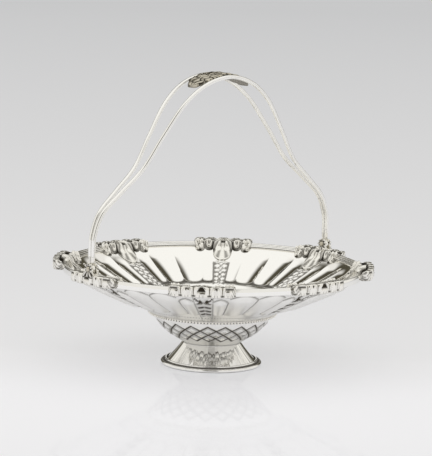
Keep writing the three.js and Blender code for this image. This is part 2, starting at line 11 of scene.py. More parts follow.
import bpy
import numpy as np
from mathutils import Matrix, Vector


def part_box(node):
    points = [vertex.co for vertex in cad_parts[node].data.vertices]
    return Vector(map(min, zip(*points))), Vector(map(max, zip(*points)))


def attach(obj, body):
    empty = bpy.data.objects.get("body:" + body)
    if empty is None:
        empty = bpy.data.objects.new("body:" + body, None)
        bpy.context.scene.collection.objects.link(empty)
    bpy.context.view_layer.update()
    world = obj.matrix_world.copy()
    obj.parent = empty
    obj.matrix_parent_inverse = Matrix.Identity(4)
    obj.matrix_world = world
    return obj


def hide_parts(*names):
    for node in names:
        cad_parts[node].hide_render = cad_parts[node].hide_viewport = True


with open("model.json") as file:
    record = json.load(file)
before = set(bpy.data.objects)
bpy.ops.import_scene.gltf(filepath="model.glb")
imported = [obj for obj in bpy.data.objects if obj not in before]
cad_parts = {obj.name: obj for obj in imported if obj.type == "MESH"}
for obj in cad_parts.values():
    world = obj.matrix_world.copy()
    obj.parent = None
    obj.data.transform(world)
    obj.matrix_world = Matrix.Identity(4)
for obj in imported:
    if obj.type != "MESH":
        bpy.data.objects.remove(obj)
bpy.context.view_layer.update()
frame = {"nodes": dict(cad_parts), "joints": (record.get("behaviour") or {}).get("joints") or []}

# %% [markdown]
# Units. Blender works in metres, but a silversmith thinks in millimetres, so shapes are worked out
# in millimetres and turned to metres once, when a mesh is made. Angles round the basket are in
# degrees, with 0 at the right-hand pivot.

# %% Units and small helpers
MM = 0.001


def box_mm(node):
    """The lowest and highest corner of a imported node, in millimetres."""
    low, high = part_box(node)
    return np.array(low) / MM, np.array(high) / MM


def blend_smooth(edge_low, edge_high, value):
    """0 below the low edge, 1 above the high one, with an S-shaped ramp between."""
    share = np.clip((value - edge_low) / (edge_high - edge_low), 0, 1)
    return share * share * (3 - 2 * share)


def hump(distance):
    """A round swelling: the height of a unit half ball at a distance from its middle."""
    return np.sqrt(np.clip(1 - distance**2, 0, None))


def line_mark(distance, width):
    """A soft groove's profile: 1 on the line, fading like a bell curve over its width."""
    return np.exp(-((distance / width) ** 2))


def full_turn(steps):
    """Evenly spaced angles once round a circle, in radians: step number x 360 / steps."""
    return np.radians(np.arange(steps) * 360 / steps)


def around(radius, angle, height):
    """Points from a radius, an angle in degrees and a height, all arrays or numbers."""
    turn = np.radians(angle)
    radius, turn, height = np.broadcast_arrays(radius, turn, height)
    return np.stack([radius * np.cos(turn), radius * np.sin(turn), height], -1)


# %% [markdown]
# Meshes. A skin is a grid of points with its faces and a number for each point, its tint. A tube
# closes on itself one way and has a fan at each end, a ring closes both ways. Whether the faces
# look out is not left to luck: the signed volume of each skin tells, and a skin that came out
# inside out is turned over.

# %% Skins made of grids
def grid_quads(rows, columns, round_rows, round_columns):
    """Four corner numbers for every cell of a grid of rows x columns points."""
    i, j = np.meshgrid(
        np.arange(rows if round_rows else rows - 1),
        np.arange(columns if round_columns else columns - 1),
        indexing="ij",
    )
    below, beside = (i + 1) % rows, (j + 1) % columns
    corners = [i * columns + j, i * columns + beside, below * columns + beside, below * columns + j]
    return np.stack(corners, -1).reshape(-1, 4)


def turned_out(points, faces):
    """The faces, reversed if the volume that they enclose comes out negative."""
    a, b, c = (points[[face[k] for face in faces]] for k in (0, 1, 2))
    d = points[[face[-1] for face in faces]]
    volume = np.einsum("ij,ij->", a, np.cross(b, c)) + np.einsum("ij,ij->", a, np.cross(c, d))
    return [face[::-1] for face in faces] if volume < 0 else faces


def tube_skin(points, tint=None):
    """Rings of points (rows, columns, 3) as a closed skin with a fan to the middle of each end."""
    rows, columns = points.shape[:2]
    vertices = np.concatenate([points.reshape(-1, 3), points[[0, -1]].mean(1)])
    faces = grid_quads(rows, columns, False, True).tolist()
    here = np.arange(columns)
    after = (here + 1) % columns
    last = (rows - 1) * columns
    first_fan = np.stack([after, here, np.full(columns, rows * columns)], -1)
    last_fan = np.stack([last + here, last + after, np.full(columns, rows * columns + 1)], -1)
    faces += first_fan.tolist() + last_fan.tolist()
    tint = np.zeros((rows, columns)) if tint is None else tint
    tints = np.concatenate([tint.reshape(-1), tint[[0, -1]].mean(1)])
    return vertices, turned_out(vertices, faces), tints


def ring_skin(points, tint=None):
    """A grid of points that closes on itself both ways, as a moulding turned round the axis does."""
    rows, columns = points.shape[:2]
    vertices = points.reshape(-1, 3)
    faces = grid_quads(rows, columns, True, True).tolist()
    tint = np.zeros((rows, columns)) if tint is None else tint
    return vertices, turned_out(vertices, faces), tint.reshape(-1)


# %% [markdown]
# A piece joins its skins in one mesh. The tints become an attribute called recess: 0 on what a
# polishing mop reaches and 1 deep in a hollow, where old silver keeps its tarnish. In a few places
# the same tints paint shade: under the base ring, at the step inside the dish, on the beaded wire,
# in the ornaments and under the cartouche. The finishes read it, so the dark of a groove follows
# the groove and not a picture.

# %% Make a piece
CREASE_ANGLE = np.radians(38)  # faces that meet more sharply show an edge


def make_piece(name, skins, finish, body, nodes):
    """One object from its skins: placed in the mesh, smooth but for real edges, riding on a body."""
    starts = np.cumsum([0] + [len(skin[0]) for skin in skins[:-1]])
    vertices = np.concatenate([skin[0] for skin in skins]) * MM
    faces = [[k + start for k in face] for skin, start in zip(skins, starts) for face in skin[1]]
    mesh = bpy.data.meshes.new(name)
    mesh.from_pydata(vertices, [], faces)
    recess = mesh.attributes.new("recess", "FLOAT", "POINT")
    recess.data.foreach_set("value", np.concatenate([skin[2] for skin in skins]).clip(0, 1))
    mesh.polygons.foreach_set("use_smooth", np.ones(len(mesh.polygons), bool))
    mesh.set_sharp_from_angle(angle=CREASE_ANGLE)
    mesh.materials.append(finish)
    mesh.update()
    piece = bpy.data.objects.new(name, mesh)
    bpy.context.scene.collection.objects.link(piece)
    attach(piece, body)
    if nodes:
        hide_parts(*nodes)
    print(f"{name}: {len(mesh.vertices)} points, {len(mesh.polygons)} faces")
    return piece


# %% [markdown]
# Finishes. Silver is a metal: it has no colour of its own but a slightly warm, very bright
# reflection, so the finish is mostly how sharp that reflection is. Sheet and wire are buffed with
# rouge on a soft mop and come out as a mirror, castings keep a faint skin from the mould, and the
# hollows hold brown-grey sulphide. One small function adds a node, and one more builds the finish.
# The roughness follows the recess too, and varies very slightly in smears as wide as a thumb.

# %% A helper for nodes and colours
def linear(hex_colour):
    """A colour written as sRGB hex, turned to the linear values that a shader takes."""
    parts = np.array([int(hex_colour[i : i + 2], 16) / 255 for i in (1, 3, 5)])
    low = parts / 12.92
    high = ((parts + 0.055) / 1.055) ** 2.4
    return (*np.where(parts <= 0.04045, low, high), 1.0)


def add_node(tree, kind, settings=(), **inputs):
    """A shader node with its settings and with values or links put into its named inputs."""
    node = tree.nodes.new(kind)
    for key, value in dict(settings).items():
        setattr(node, key, value)
    for key, value in inputs.items():
        socket = node.inputs[int(key[1:])] if key[1:].isdigit() else node.inputs[key.replace("_", " ")]
        if isinstance(value, bpy.types.NodeSocket):
            tree.links.new(value, socket)
        else:
            socket.default_value = value
    return node


def new_material(name):
    """An empty node material and its output node."""
    material = bpy.data.materials.new(name)
    material.use_nodes = True
    material.node_tree.nodes.clear()
    return material, material.node_tree, material.node_tree.nodes.new("ShaderNodeOutputMaterial")


# %% The finishes of silver
COLOURS = {"data_type": "RGBA"}  # makes a Mix node mix colours
STAIN_START = 0.2  # the recess from which the dark colour shows, as tarnish and as painted shade
DULL_FROM = 0.4  # the recess from which the mop reaches nothing
SMEAR_MM = 30
SMEAR_ROUGHNESS = 0.03


def silver_finish(name, bright, hollow, gloss, hollow_gloss, grain_mm, grain_height_mm):
    """Metal whose colour and roughness go from bright to hollow with recess, over a fine grain."""
    material, tree, output = new_material(name)
    recess = add_node(tree, "ShaderNodeAttribute", {"attribute_name": "recess"}).outputs["Fac"]
    place = add_node(tree, "ShaderNodeTexCoord").outputs["Object"]
    tarnish_and_shade = add_node(tree, "ShaderNodeMapRange", Value=recess, From_Min=STAIN_START).outputs[0]
    colour = add_node(
        tree, "ShaderNodeMix", COLOURS, _0=tarnish_and_shade, _6=linear(bright), _7=linear(hollow)
    ).outputs[2]
    smears = add_node(tree, "ShaderNodeTexNoise", Vector=place, Scale=1 / (SMEAR_MM * MM), Detail=3.0)
    worn = add_node(
        tree, "ShaderNodeMapRange", From_Min=0.3, From_Max=0.7, To_Min=0.0, To_Max=SMEAR_ROUGHNESS,
        Value=smears.outputs["Fac"],
    ).outputs[0]
    rough = add_node(
        tree, "ShaderNodeMapRange", Value=recess, From_Max=DULL_FROM, To_Min=gloss, To_Max=hollow_gloss
    ).outputs[0]
    rough = add_node(tree, "ShaderNodeMath", {"operation": "ADD"}, _0=rough, _1=worn).outputs[0]
    grain = add_node(tree, "ShaderNodeTexNoise", Vector=place, Scale=1 / (grain_mm * MM), Detail=2.0)
    bump = add_node(
        tree, "ShaderNodeBump", Height=grain.outputs["Fac"], Distance=grain_height_mm * MM, Strength=1.0
    )
    shader = add_node(
        tree, "ShaderNodeBsdfPrincipled", Base_Color=colour, Metallic=1.0, Roughness=rough,
        Normal=bump.outputs["Normal"],
    )
    tree.links.new(shader.outputs[0], output.inputs["Surface"])
    return material


ACROSS_MARKS = 0.25  # a quarter turn: the blur would follow the marks, and has to cross them


def turned_on_lathe(material, amount):
    """Marks that run round the Z axis, whose direction is Z x place: they stretch each reflection
    across themselves."""
    tree = material.node_tree
    place = add_node(tree, "ShaderNodeTexCoord").outputs["Object"]
    round_axis = add_node(
        tree, "ShaderNodeVectorMath", {"operation": "CROSS_PRODUCT"}, _0=(0, 0, 1), _1=place
    ).outputs[0]
    shader = next(node for node in tree.nodes if node.type == "BSDF_PRINCIPLED")
    shader.inputs["Anisotropic"].default_value = amount
    shader.inputs["Anisotropic Rotation"].default_value = ACROSS_MARKS
    tree.links.new(round_axis, shader.inputs["Tangent"])
    return material


# Raised sheet and drawn wire, buffed to a mirror: the grain is the hammer's long soft waves.
polished_silver = silver_finish(
    "polished_silver", bright="#FBFAF7", hollow="#4B453A", gloss=0.05, hollow_gloss=0.55,
    grain_mm=9.0, grain_height_mm=0.012,
)
# The foot is spun and polished on a lathe. Its marks are far too fine to draw, and what the eye
# gets from them is that reflections are drawn out up and down.
spun_silver = turned_on_lathe(silver_finish(
    "spun_silver", bright="#FBFAF6", hollow="#4B453A", gloss=0.07, hollow_gloss=0.4,
    grain_mm=9.0, grain_height_mm=0.012,
), amount=0.6)
# Castings polished on their high parts: the mould leaves a finer, rougher skin.
cast_silver = silver_finish(
    "cast_silver", bright="#F6F4EE", hollow="#3B362D", gloss=0.1, hollow_gloss=0.45,
    grain_mm=1.6, grain_height_mm=0.025,
)
# A darker casting: duller on top and almost black in its hollows.
darkened_silver = silver_finish(
    "darkened_silver", bright="#CBC5B6", hollow="#2E2A22", gloss=0.18, hollow_gloss=0.45,
    grain_mm=1.4, grain_height_mm=0.04,
)
print("finishes:", [m.name for m in (polished_silver, spun_silver, cast_silver, darkened_silver)])

# %% [markdown]
# The foot. On the real basket it is a sheet spun over a former into a trumpet, with a drawn
# moulding soldered round its hem to stand on. Blender's Screw modifier could turn such a profile,
# but the bowl needs reliefs that differ round the axis, so one numpy function turns the profile of
# radius and height here, and serves both.

# %% Sizes read from the frame
foot_low, foot_high = box_mm("foot")
ring_high = box_mm("foot_base_ring")[1]
bowl_low, bowl_high = box_mm("bowl")
bead_low, bead_high = box_mm("bead_wire")
plain_low, plain_high = box_mm("rim_plain_1")
pivot = np.array(frame["joints"][0]["pos_m"]) / MM
print("foot top", foot_high[2], "bowl edge", bowl_high[0], "pivot height", pivot[2])

# %% Turned profiles
ROUND_STEPS = 288


def swept(profile, steps=ROUND_STEPS):
    """A profile (n, 2) of radius and height turned about the Z axis: (n, steps, 3)."""
    angle = np.arange(steps) * 360 / steps
    return around(profile[:, :1], angle[None, :], profile[:, 1:])


def bowed(start, end, bow, share):
    """Points on the arc that bows to the right of the line from start to end."""
    start, end = np.array(start, float), np.array(end, float)
    along = end - start
    aside = np.array([along[1], -along[0]]) / np.hypot(*along)
    share = np.asarray(share)[:, None]
    return start + along * share + aside * 4 * bow * share * (1 - share)


def arc(centre, radius, first, last, steps):
    """Points of a circle's arc in the profile's plane, from one angle to another."""
    turn = np.radians(np.linspace(first, last, steps))
    return np.stack([centre[0] + radius * np.cos(turn), centre[1] + radius * np.sin(turn)], -1)


# %% Foot and base ring
FOOT_NECK_RADIUS = 28.4
FOOT_WALL = 1.4
SLANT = 1.25  # the wall's width along the radius for each mm of its thickness
FOOT_HOLLOW = 0.3  # how far the trumpet's side curves in: it is nearly straight
FACET_SHARE = 0.003  # how far the hammer's soft facets stand out, as a share of the radius
FACET_WAVES = ((23, 1.0, 0), (37, 0.8, 1), (58, 0.6, 2))  # waves round the foot, weight, start
GAP = 0.3  # between a piece and the next, where the solder would be

hem_radius = foot_high[0]
foot_side = bowed(
    (hem_radius, foot_low[2]), (FOOT_NECK_RADIUS, foot_high[2]), -FOOT_HOLLOW, np.linspace(0, 1, 40)
)
foot_wall = np.stack([foot_side[::-1, 0] - FOOT_WALL * SLANT, foot_side[::-1, 1]], -1)
foot_points = swept(np.concatenate([foot_side, foot_wall]))
facets = sum(weight * np.sin(waves * full_turn(ROUND_STEPS) + start) for waves, weight, start in FACET_WAVES)
foot_points[..., :2] *= 1 + FACET_SHARE * facets[None, :, None]
foot_skin = ring_skin(foot_points)
make_piece("trumpet_foot", [foot_skin], spun_silver, "basket", ["foot"])

# %% The ring that the basket stands on
BASE_BEAD_RADIUS = 1.75
BASE_BEAD_PROUD = 0.1  # how far the bead stands past the construction's ring
BASE_FACE_WIDTH = 2.8
LEDGE_THICKNESS = 1.3
GROOVE_SET_BACK = 0.45  # how far in the groove between the two beads lies
COLLAR_DROP = 0.4  # how much lower the collar at the trumpet's hem is than the ring

bead_centre = ring_high[0] + BASE_BEAD_PROUD - BASE_BEAD_RADIUS
seat = hem_radius + GAP
upper_bead = (ring_high[2] - 2 * BASE_BEAD_RADIUS) / 2
ledge_top = foot_low[2] - GAP
lower_arc = arc((bead_centre, BASE_BEAD_RADIUS), BASE_BEAD_RADIUS, -90, 78, 18)
upper_arc = arc((seat + upper_bead, 2 * BASE_BEAD_RADIUS + upper_bead), upper_bead, -40, 110, 14)
groove_bottom = (lower_arc[-1] + upper_arc[0]) / 2 - (GROOVE_SET_BACK, 0)
base_profile = np.concatenate([
    [(bead_centre - BASE_FACE_WIDTH, 0)], lower_arc, [groove_bottom], upper_arc,
    [(seat, ring_high[2] - COLLAR_DROP), (seat, ledge_top)],
    [(seat - 2 * FOOT_WALL, ledge_top), (seat - 2 * FOOT_WALL, ledge_top - LEDGE_THICKNESS)],
])
# Dark are the points under the ring (0 to 6), painted shade where it stands, in the groove (18 to 20) and at
# the seat (from 33).
base_tint = np.zeros(len(base_profile))
base_tint[:6] = 1
base_tint[[6, 18, 19, 20, 33, 34, 35]] = 0.4, 0.7, 1, 0.7, 0.6, 1, 1
base_skin = ring_skin(swept(base_profile), np.repeat(base_tint[:, None], ROUND_STEPS, 1))
nodes = ["foot_base_ring"]
make_piece("stepped_base_ring", [base_skin], polished_silver, "basket", nodes)

# %% [markdown]
# The bowl. The real one is raised from one disc: a round-bellied cup, a small shoulder, and a wide
# dish chased with flutes from behind, so that what stands out outside is hollow inside. Here it is
# drawn as two shells that meet at the shoulder, under the beaded wire, because one mesh fine enough
# for both the trellis and the flutes would be too heavy to share. Both start from one turned
# profile, and each point is moved along the profile's normal by a relief that depends on the place.

# %% The bowl's profile
BOWL_WALL = 1.3
CUP_BASE_RADIUS = 27.6
CUP_RADIUS = 60.0
CUP_BULGE = 2.8  # how far the cup's side swells out from a straight line
STEP_WIDTH = 1.8  # of the shoulder between cup and dish
STEP_RISE = 0.6
DISH_RADIUS = 139.5
DISH_LOWER_SLOPE = 26  # degrees, where the dish leaves the shoulder
DISH_UPPER_SLOPE = 48  # degrees, at its edge
LOWER_PULL, UPPER_PULL = 0.45, 0.16  # the handles of the dish's curve, as shares of its chord

cup_bottom = bowl_low[2]
cup_top = bead_high[2] + GAP
dish_foot = np.array([CUP_RADIUS + STEP_WIDTH, cup_top + STEP_RISE])
dish_edge = np.array([DISH_RADIUS, bowl_high[2] - BOWL_WALL])


def dish_curve(share):
    """The dish's side: a cubic curve that leaves the shoulder at one slope and ends at another."""
    chord = np.hypot(*(dish_edge - dish_foot))
    lower, upper = np.radians([DISH_LOWER_SLOPE, DISH_UPPER_SLOPE])
    second = dish_foot + LOWER_PULL * chord * np.array([np.cos(lower), np.sin(lower)])
    third = dish_edge - UPPER_PULL * chord * np.array([np.cos(upper), np.sin(upper)])
    t = np.asarray(share, float)[:, None]
    return (
        (1 - t) ** 3 * dish_foot + 3 * (1 - t) ** 2 * t * second + 3 * (1 - t) * t**2 * third
        + t**3 * dish_edge
    )


def inward(profile):
    """The unit direction into the bowl at each point of a profile, square to the profile."""
    along = np.gradient(profile, axis=0)
    along /= np.hypot(along[:, 0], along[:, 1])[:, None]
    return np.stack([-along[:, 1], along[:, 0]], -1)


def relief_grid(profile, direction, angle, height):
    """Points of a turned profile, each moved along its direction by height (rows, columns)."""
    radius = profile[:, :1] + direction[:, :1] * height
    level = profile[:, 1:] + direction[:, 1:] * height
    return around(radius, angle[None, :], level)


# %% [markdown]
# The cup's trellis is chased with a tracer: a narrow groove hammered along two families of crossing
# spirals, and the lozenges between them matted with a fine punch, so they read darker than the
# polished strip above. Counting diamonds in the photograph gives 21 round the cup. With the turn
# and the drop counted in diamonds, a place is on a line where turn + drop, or turn - drop, is a
# whole number.

# %% The trellised cup
DIAMONDS = 21
FRONT_STRIP = 225  # degrees, where a peak of the zigzag meets the chased strip above it
TRELLIS_TOP = 0.83  # this and the next are shares of the way up the cup's side
DIAMOND_SHARE = 0.28
TRELLIS_ROWS = 2
GROOVE_WIDTH = 0.72
MATTING_EDGE = (0.4, 1.6)  # mm from a groove: where the matting begins and where it is full
LOZENGE_EDGE = (1.2, 3.0)  # the same for the sunk middle of a lozenge
SOFT = 0.02  # how soft the trellis's upper and lower limits are, in diamonds
STEPS_IN_DIAMOND = 34
cup_angle = FRONT_STRIP + np.arange(STEPS_IN_DIAMOND * DIAMONDS) * 360 / (STEPS_IN_DIAMOND * DIAMONDS)


def trellis(share, radius, angle):
    """Four numbers from 0 to 1 at each share up the cup and angle: how much the place is groove,
    matted lozenge, a lozenge's middle, and the plain band under the trellis."""
    turn = (angle[None, :] - FRONT_STRIP) * DIAMONDS / 360
    drop = ((TRELLIS_TOP - share) / DIAMOND_SHARE)[:, None]
    cup_length = np.hypot(CUP_RADIUS - CUP_BASE_RADIUS, cup_top - cup_bottom)
    steepness = np.hypot(DIAMONDS / (2 * np.pi * radius[:, None]), 1 / (DIAMOND_SHARE * cup_length))
    groove = np.zeros((len(share), len(angle)))
    inside = np.ones_like(groove)
    middle = np.ones_like(groove)
    for lines in (turn + drop, turn - drop):
        distance = np.abs(lines - np.round(lines)) / steepness
        groove = np.maximum(groove, line_mark(distance, GROOVE_WIDTH))
        inside = inside * blend_smooth(*MATTING_EDGE, distance)
        middle = middle * blend_smooth(*LOZENGE_EDGE, distance)
    # Above the peaks of one zigzag and below the points of another the sheet stays plain.
    peak = np.abs(turn - np.round(turn))
    from_top, from_end = drop - peak, drop + peak - TRELLIS_ROWS
    chased = blend_smooth(-SOFT, SOFT, from_top) * blend_smooth(SOFT, -SOFT, from_end)
    on_zigzag = line_mark(from_top / steepness, GROOVE_WIDTH) * (drop < 1)
    under_zigzag = line_mark(from_end / steepness, GROOVE_WIDTH) * (drop > 1)
    groove = np.maximum.reduce([groove * chased, on_zigzag, under_zigzag])
    return groove, inside * chased, middle, blend_smooth(-SOFT, SOFT, from_end)


# %% The cup's shape
GROOVE_DEPTH = 0.55
MATTING_DEPTH = 0.35
LOZENGE_DEPTH = 0.5  # how much deeper a lozenge's middle lies
PUNCH_DEPTH = 0.06
PUNCH_TURN, PUNCH_RISE = np.pi * 2.1, 260  # how fast the punch marks follow each other
FLOOR_ROWS = 7
FLOOR_START = 1.5  # the innermost ring of the floor, closed by a fan
CUP_ROWS, WALL_ROWS = 96, 30  # rows of the chased outside, and of the plain inside

cup_share = np.linspace(0, 1, CUP_ROWS)
cup_side = bowed((CUP_BASE_RADIUS, cup_bottom), (CUP_RADIUS, cup_top), CUP_BULGE, cup_share)
floor_radius = np.linspace(FLOOR_START, CUP_BASE_RADIUS, FLOOR_ROWS + 1)[:-1]
cup_floor = np.stack([floor_radius, np.full(FLOOR_ROWS, cup_bottom)], -1)
cup_profile = np.concatenate([cup_floor, cup_side])
cup_inward = inward(cup_profile)
cup_inward[:FLOOR_ROWS] = (0, 1)
chasing, matting, lozenge, under_trellis = trellis(cup_share, cup_side[:, 0], cup_angle)
punch_marks = np.sin(cup_angle * PUNCH_TURN)[None, :] * np.sin(cup_share * PUNCH_RISE)[:, None]
sunk = MATTING_DEPTH + LOZENGE_DEPTH * lozenge - PUNCH_DEPTH * punch_marks
outer_height = np.zeros((len(cup_profile), len(cup_angle)))
outer_height[FLOOR_ROWS:] = GROOVE_DEPTH * chasing - sunk * matting
# The groove is darkest, the matting half dark with a brighter middle, the band below it is dulled.
matting_tint = (0.52 - 0.34 * lozenge) * matting * (1 + 0.5 * punch_marks)
outer_tint = np.zeros_like(outer_height)
outer_tint[FLOOR_ROWS:] = 1.5 * chasing + matting_tint + 0.34 * under_trellis * (1 - chasing)
inner_rows = np.linspace(len(cup_profile) - 1, 0, WALL_ROWS).round().astype(int)
inner_height = np.full((len(inner_rows), len(cup_angle)), BOWL_WALL)
outside = relief_grid(cup_profile, cup_inward, cup_angle, outer_height)
inside = relief_grid(cup_profile[inner_rows], cup_inward[inner_rows], cup_angle, inner_height)
cup_skin = tube_skin(np.concatenate([outside, inside]), np.concatenate([outer_tint, 0 * inner_height]))
make_piece("bowl_cup", [cup_skin], polished_silver, "basket", ["bowl"])

# %% [markdown]
# The dish. Eight panels of 45 degrees each hold one chased strip, in line with an ornament, a narrow
# flute on each side of it and two wide ones. A flute is a shallow trough with round ends and a sharp
# crease between it and the next: its depth is 1 - a^2 across, with a running from -1 to 1, so
# neighbours meet in a crease. Outside the ends are half ovals. Inside, the trough ends below in a
# steep scoop, which shows as the scalloped dark line round the bottom of the dish, and painted shade
# darkens that step.

# %% Flutes
PANELS = 8
STRIP_EDGE, NARROW_EDGE, WIDE_EDGE = 4.0, 10.5, 22.5  # degrees from the strip's middle
FLUTE_DEPTH = 2.6
TROUGH_DEPTHS = np.array([0, 0.7, 2.0])  # inside, for a strip, a narrow and a wide flute
CUSP = 3.6  # how far the scoops' corners reach up between two flutes
SCOOP_LENGTH = 7.0
FADE_LENGTH = 10.0  # over which a trough fades out at its top, inside
FLUTE_FOOT = 83.0  # the radius where the flutes begin
FLUTE_TOP_INSET = 2.0
SHORT_FLUTE_DROP = 7.0
FLUTE_END = 7.0  # how long a flute's round ends are
FOOT_ROUND = 0.6  # how round a flute's foot is beside its top
SHELF_RADIUS, SHELF_HALF_WIDTH, SHELF_SWELL = 77.5, 12.0, 2.2  # the swell inside, under the flutes
OFF_FLUTE = -9  # stands for the distance to the outline where there is no flute


def division_place(angle):
    """Which part of its panel an angle is in (0 strip, 1 narrow flute, 2 wide flute), how far across
    that part it lies, from -1 to 1, and half the part's angle."""
    side = np.abs(np.mod(angle + WIDE_EDGE, 2 * WIDE_EDGE) - WIDE_EDGE)
    division = (side > STRIP_EDGE).astype(int) + (side > NARROW_EDGE)
    low = np.array([-STRIP_EDGE, STRIP_EDGE, NARROW_EDGE])[division]
    high = np.array([STRIP_EDGE, NARROW_EDGE, WIDE_EDGE])[division]
    return division, 2 * (side - low) / (high - low) - 1, np.radians(high - low) / 2


def flute_top(division):
    """The radius where a flute ends: the narrow ones stop short of the wide ones."""
    return DISH_RADIUS - FLUTE_TOP_INSET - np.where(division == 1, SHORT_FLUTE_DROP, 0)


def flute_depth(radius, angle):
    """How far the flutes stand out from the plain dish: a trough across, faded at its round ends."""
    division, across, _ = division_place(angle)
    to_foot = (radius - FLUTE_FOOT) / FLUTE_END - FOOT_ROUND * across**2
    to_top = (flute_top(division) - radius) / FLUTE_END - across**2
    ends = np.clip(to_foot, 0, 1) * np.clip(to_top, 0, 1)
    return np.where(division == 0, 0, FLUTE_DEPTH * (1 - across**2) * np.sqrt(ends))


def trough_depth(radius, angle):
    """The same flutes seen inside: they fade out slowly upwards and end in a steep scoop below.
    Under them the sheet swells inwards all round, so the scoops meet it in one scalloped step."""
    division, across, _ = division_place(angle)
    top = flute_top(division) + 1
    fade = blend_smooth(top, top - FADE_LENGTH, radius + 2 * across**2)
    scoop = np.clip((radius - FLUTE_FOOT - CUSP * across**6) / SCOOP_LENGTH, 0, 1) ** 0.7
    trough = TROUGH_DEPTHS[division] * (1 - across**2) * fade * scoop
    return trough - SHELF_SWELL * hump((radius - SHELF_RADIUS) / SHELF_HALF_WIDTH) ** 1.5


def flute_outline(radius, angle):
    """How far a place is from the edge of its flute, in mm: the least of side, top and foot."""
    division, across, half_angle = division_place(angle)
    half = radius * half_angle
    from_side = (1 - np.abs(across)) * half
    lean = np.hypot(1, 2 * FLUTE_END * across / half)
    from_top = (flute_top(division) - radius - FLUTE_END * across**2) / lean
    from_foot = (radius - FLUTE_FOOT - FOOT_ROUND * FLUTE_END * across**2) / lean
    return np.where(division == 0, OFF_FLUTE, np.minimum(from_side, np.minimum(from_top, from_foot)))


# %% [markdown]
# The strips between the panels are chased with husks, the bell-shaped seed cases that hang in
# chains on classical silver: each is a tenth longer than the one below it, parted by a dark
# roof-shaped groove, under a pair of leaf-shaped hollows. Inside the bowl the same chain shows as
# pairs of raised knobs. They could be sculpted, but as formulas of the place they repeat exactly
# on all eight strips. The number of a husk is a logarithm, because their lengths grow by a ratio.

# %% Husk strips
TRACED_WIDTH = 0.55  # of the fine line round each flute and strip
HUSK_FOOT = 81.0
HUSK_FIRST = 9.4  # the length of the lowest husk
HUSK_GROWTH = 1.1
HUSK_DROOP = 5.9  # how much lower a groove's arms end than its peak
HUSK_TOP = 125.0
HUSK_HEIGHT = 1.3
HUSK_WIDTH = 0.86  # as a share of the strip
HUSK_GROOVE_WIDTH, HUSK_GROOVE_DEPTH = 1.5, 0.7
HOLLOW_RADIUS = 126.5  # the pair of leaf-shaped hollows
HOLLOW_LENGTH, HOLLOW_DEPTH = 6.0, 2.0
HOLLOW_PLACE, HOLLOW_HALF_WIDTH, HOLLOW_TILT = 0.53, 0.27, 0.26  # as shares of half the strip


def husk_relief(radius, angle):
    """Height in mm and darkness of the chain of husks outside the bowl."""
    division, across, half_angle = division_place(angle)
    strip = division == 0
    level = radius + HUSK_DROOP * np.abs(across)
    number = np.log1p(np.clip(level - HUSK_FOOT, 0, None) * (HUSK_GROWTH - 1) / HUSK_FIRST)
    number = number / np.log(HUSK_GROWTH)
    share = number - np.floor(number)
    length = HUSK_FIRST * HUSK_GROWTH ** np.floor(number)
    to_groove = np.minimum(share, 1 - share) * length
    chain = strip * blend_smooth(HUSK_FOOT - 1, HUSK_FOOT + 1, level) * (level < HUSK_TOP)
    leaf = hump(across / HUSK_WIDTH)
    arms = blend_smooth(0.02, 0.2, np.abs(across)) * blend_smooth(0.9, 0.7, np.abs(across))
    groove = line_mark(to_groove, HUSK_GROOVE_WIDTH) * chain * (0.3 + 0.7 * arms) * (leaf > 0)
    height = chain * leaf * (0.3 + 0.7 * share) * HUSK_HEIGHT - HUSK_GROOVE_DEPTH * groove
    tilt = (radius - HOLLOW_RADIUS) / HOLLOW_LENGTH
    aside = (np.abs(across) - HOLLOW_PLACE - HOLLOW_TILT * tilt) / HOLLOW_HALF_WIDTH
    pit = hump(np.hypot(aside, tilt)) * strip
    border = line_mark((1 - np.abs(across)) * radius * half_angle, TRACED_WIDTH) * strip
    tint = groove + blend_smooth(0.0, 0.3, pit) + 0.35 * border + 0.15 * chain
    return height - HOLLOW_DEPTH * pit, tint


# %% Knobs inside
KNOB_SPACING = 6.8
KNOB_PLACE, KNOB_SIZE, KNOB_HEIGHT = 0.45, (0.36, 0.42), 1.3  # sizes: across the strip, along it
PEARL_SIZE, PEARL_HEIGHT = (0.16, 0.3), 0.8
KNOBS_END = (118, 122)  # the radii between which they fade out under the ornament


def knob_relief(radius, angle):
    """Height in mm of the pairs of knobs inside the bowl with a pearl between each pair and the
    next, and the darkness between them. Each is the upper half of a ball, stretched to its size."""
    division, across, _ = division_place(angle)
    strip = (division == 0) * blend_smooth(FLUTE_FOOT - 4, FLUTE_FOOT - 1, radius)
    strip = strip * (1 - blend_smooth(*KNOBS_END, radius))
    step = np.mod(radius - FLUTE_FOOT, KNOB_SPACING) / KNOB_SPACING - 0.5
    knob = hump(np.hypot((np.abs(across) - KNOB_PLACE) / KNOB_SIZE[0], step / KNOB_SIZE[1]))
    pearl = hump(np.hypot(across / PEARL_SIZE[0], (np.abs(step) - 0.5) / PEARL_SIZE[1]))
    height = np.maximum(KNOB_HEIGHT * knob, PEARL_HEIGHT * pearl) * strip
    return height, strip * 0.75 * (1 - blend_smooth(0, 0.5, np.maximum(knob, pearl)))


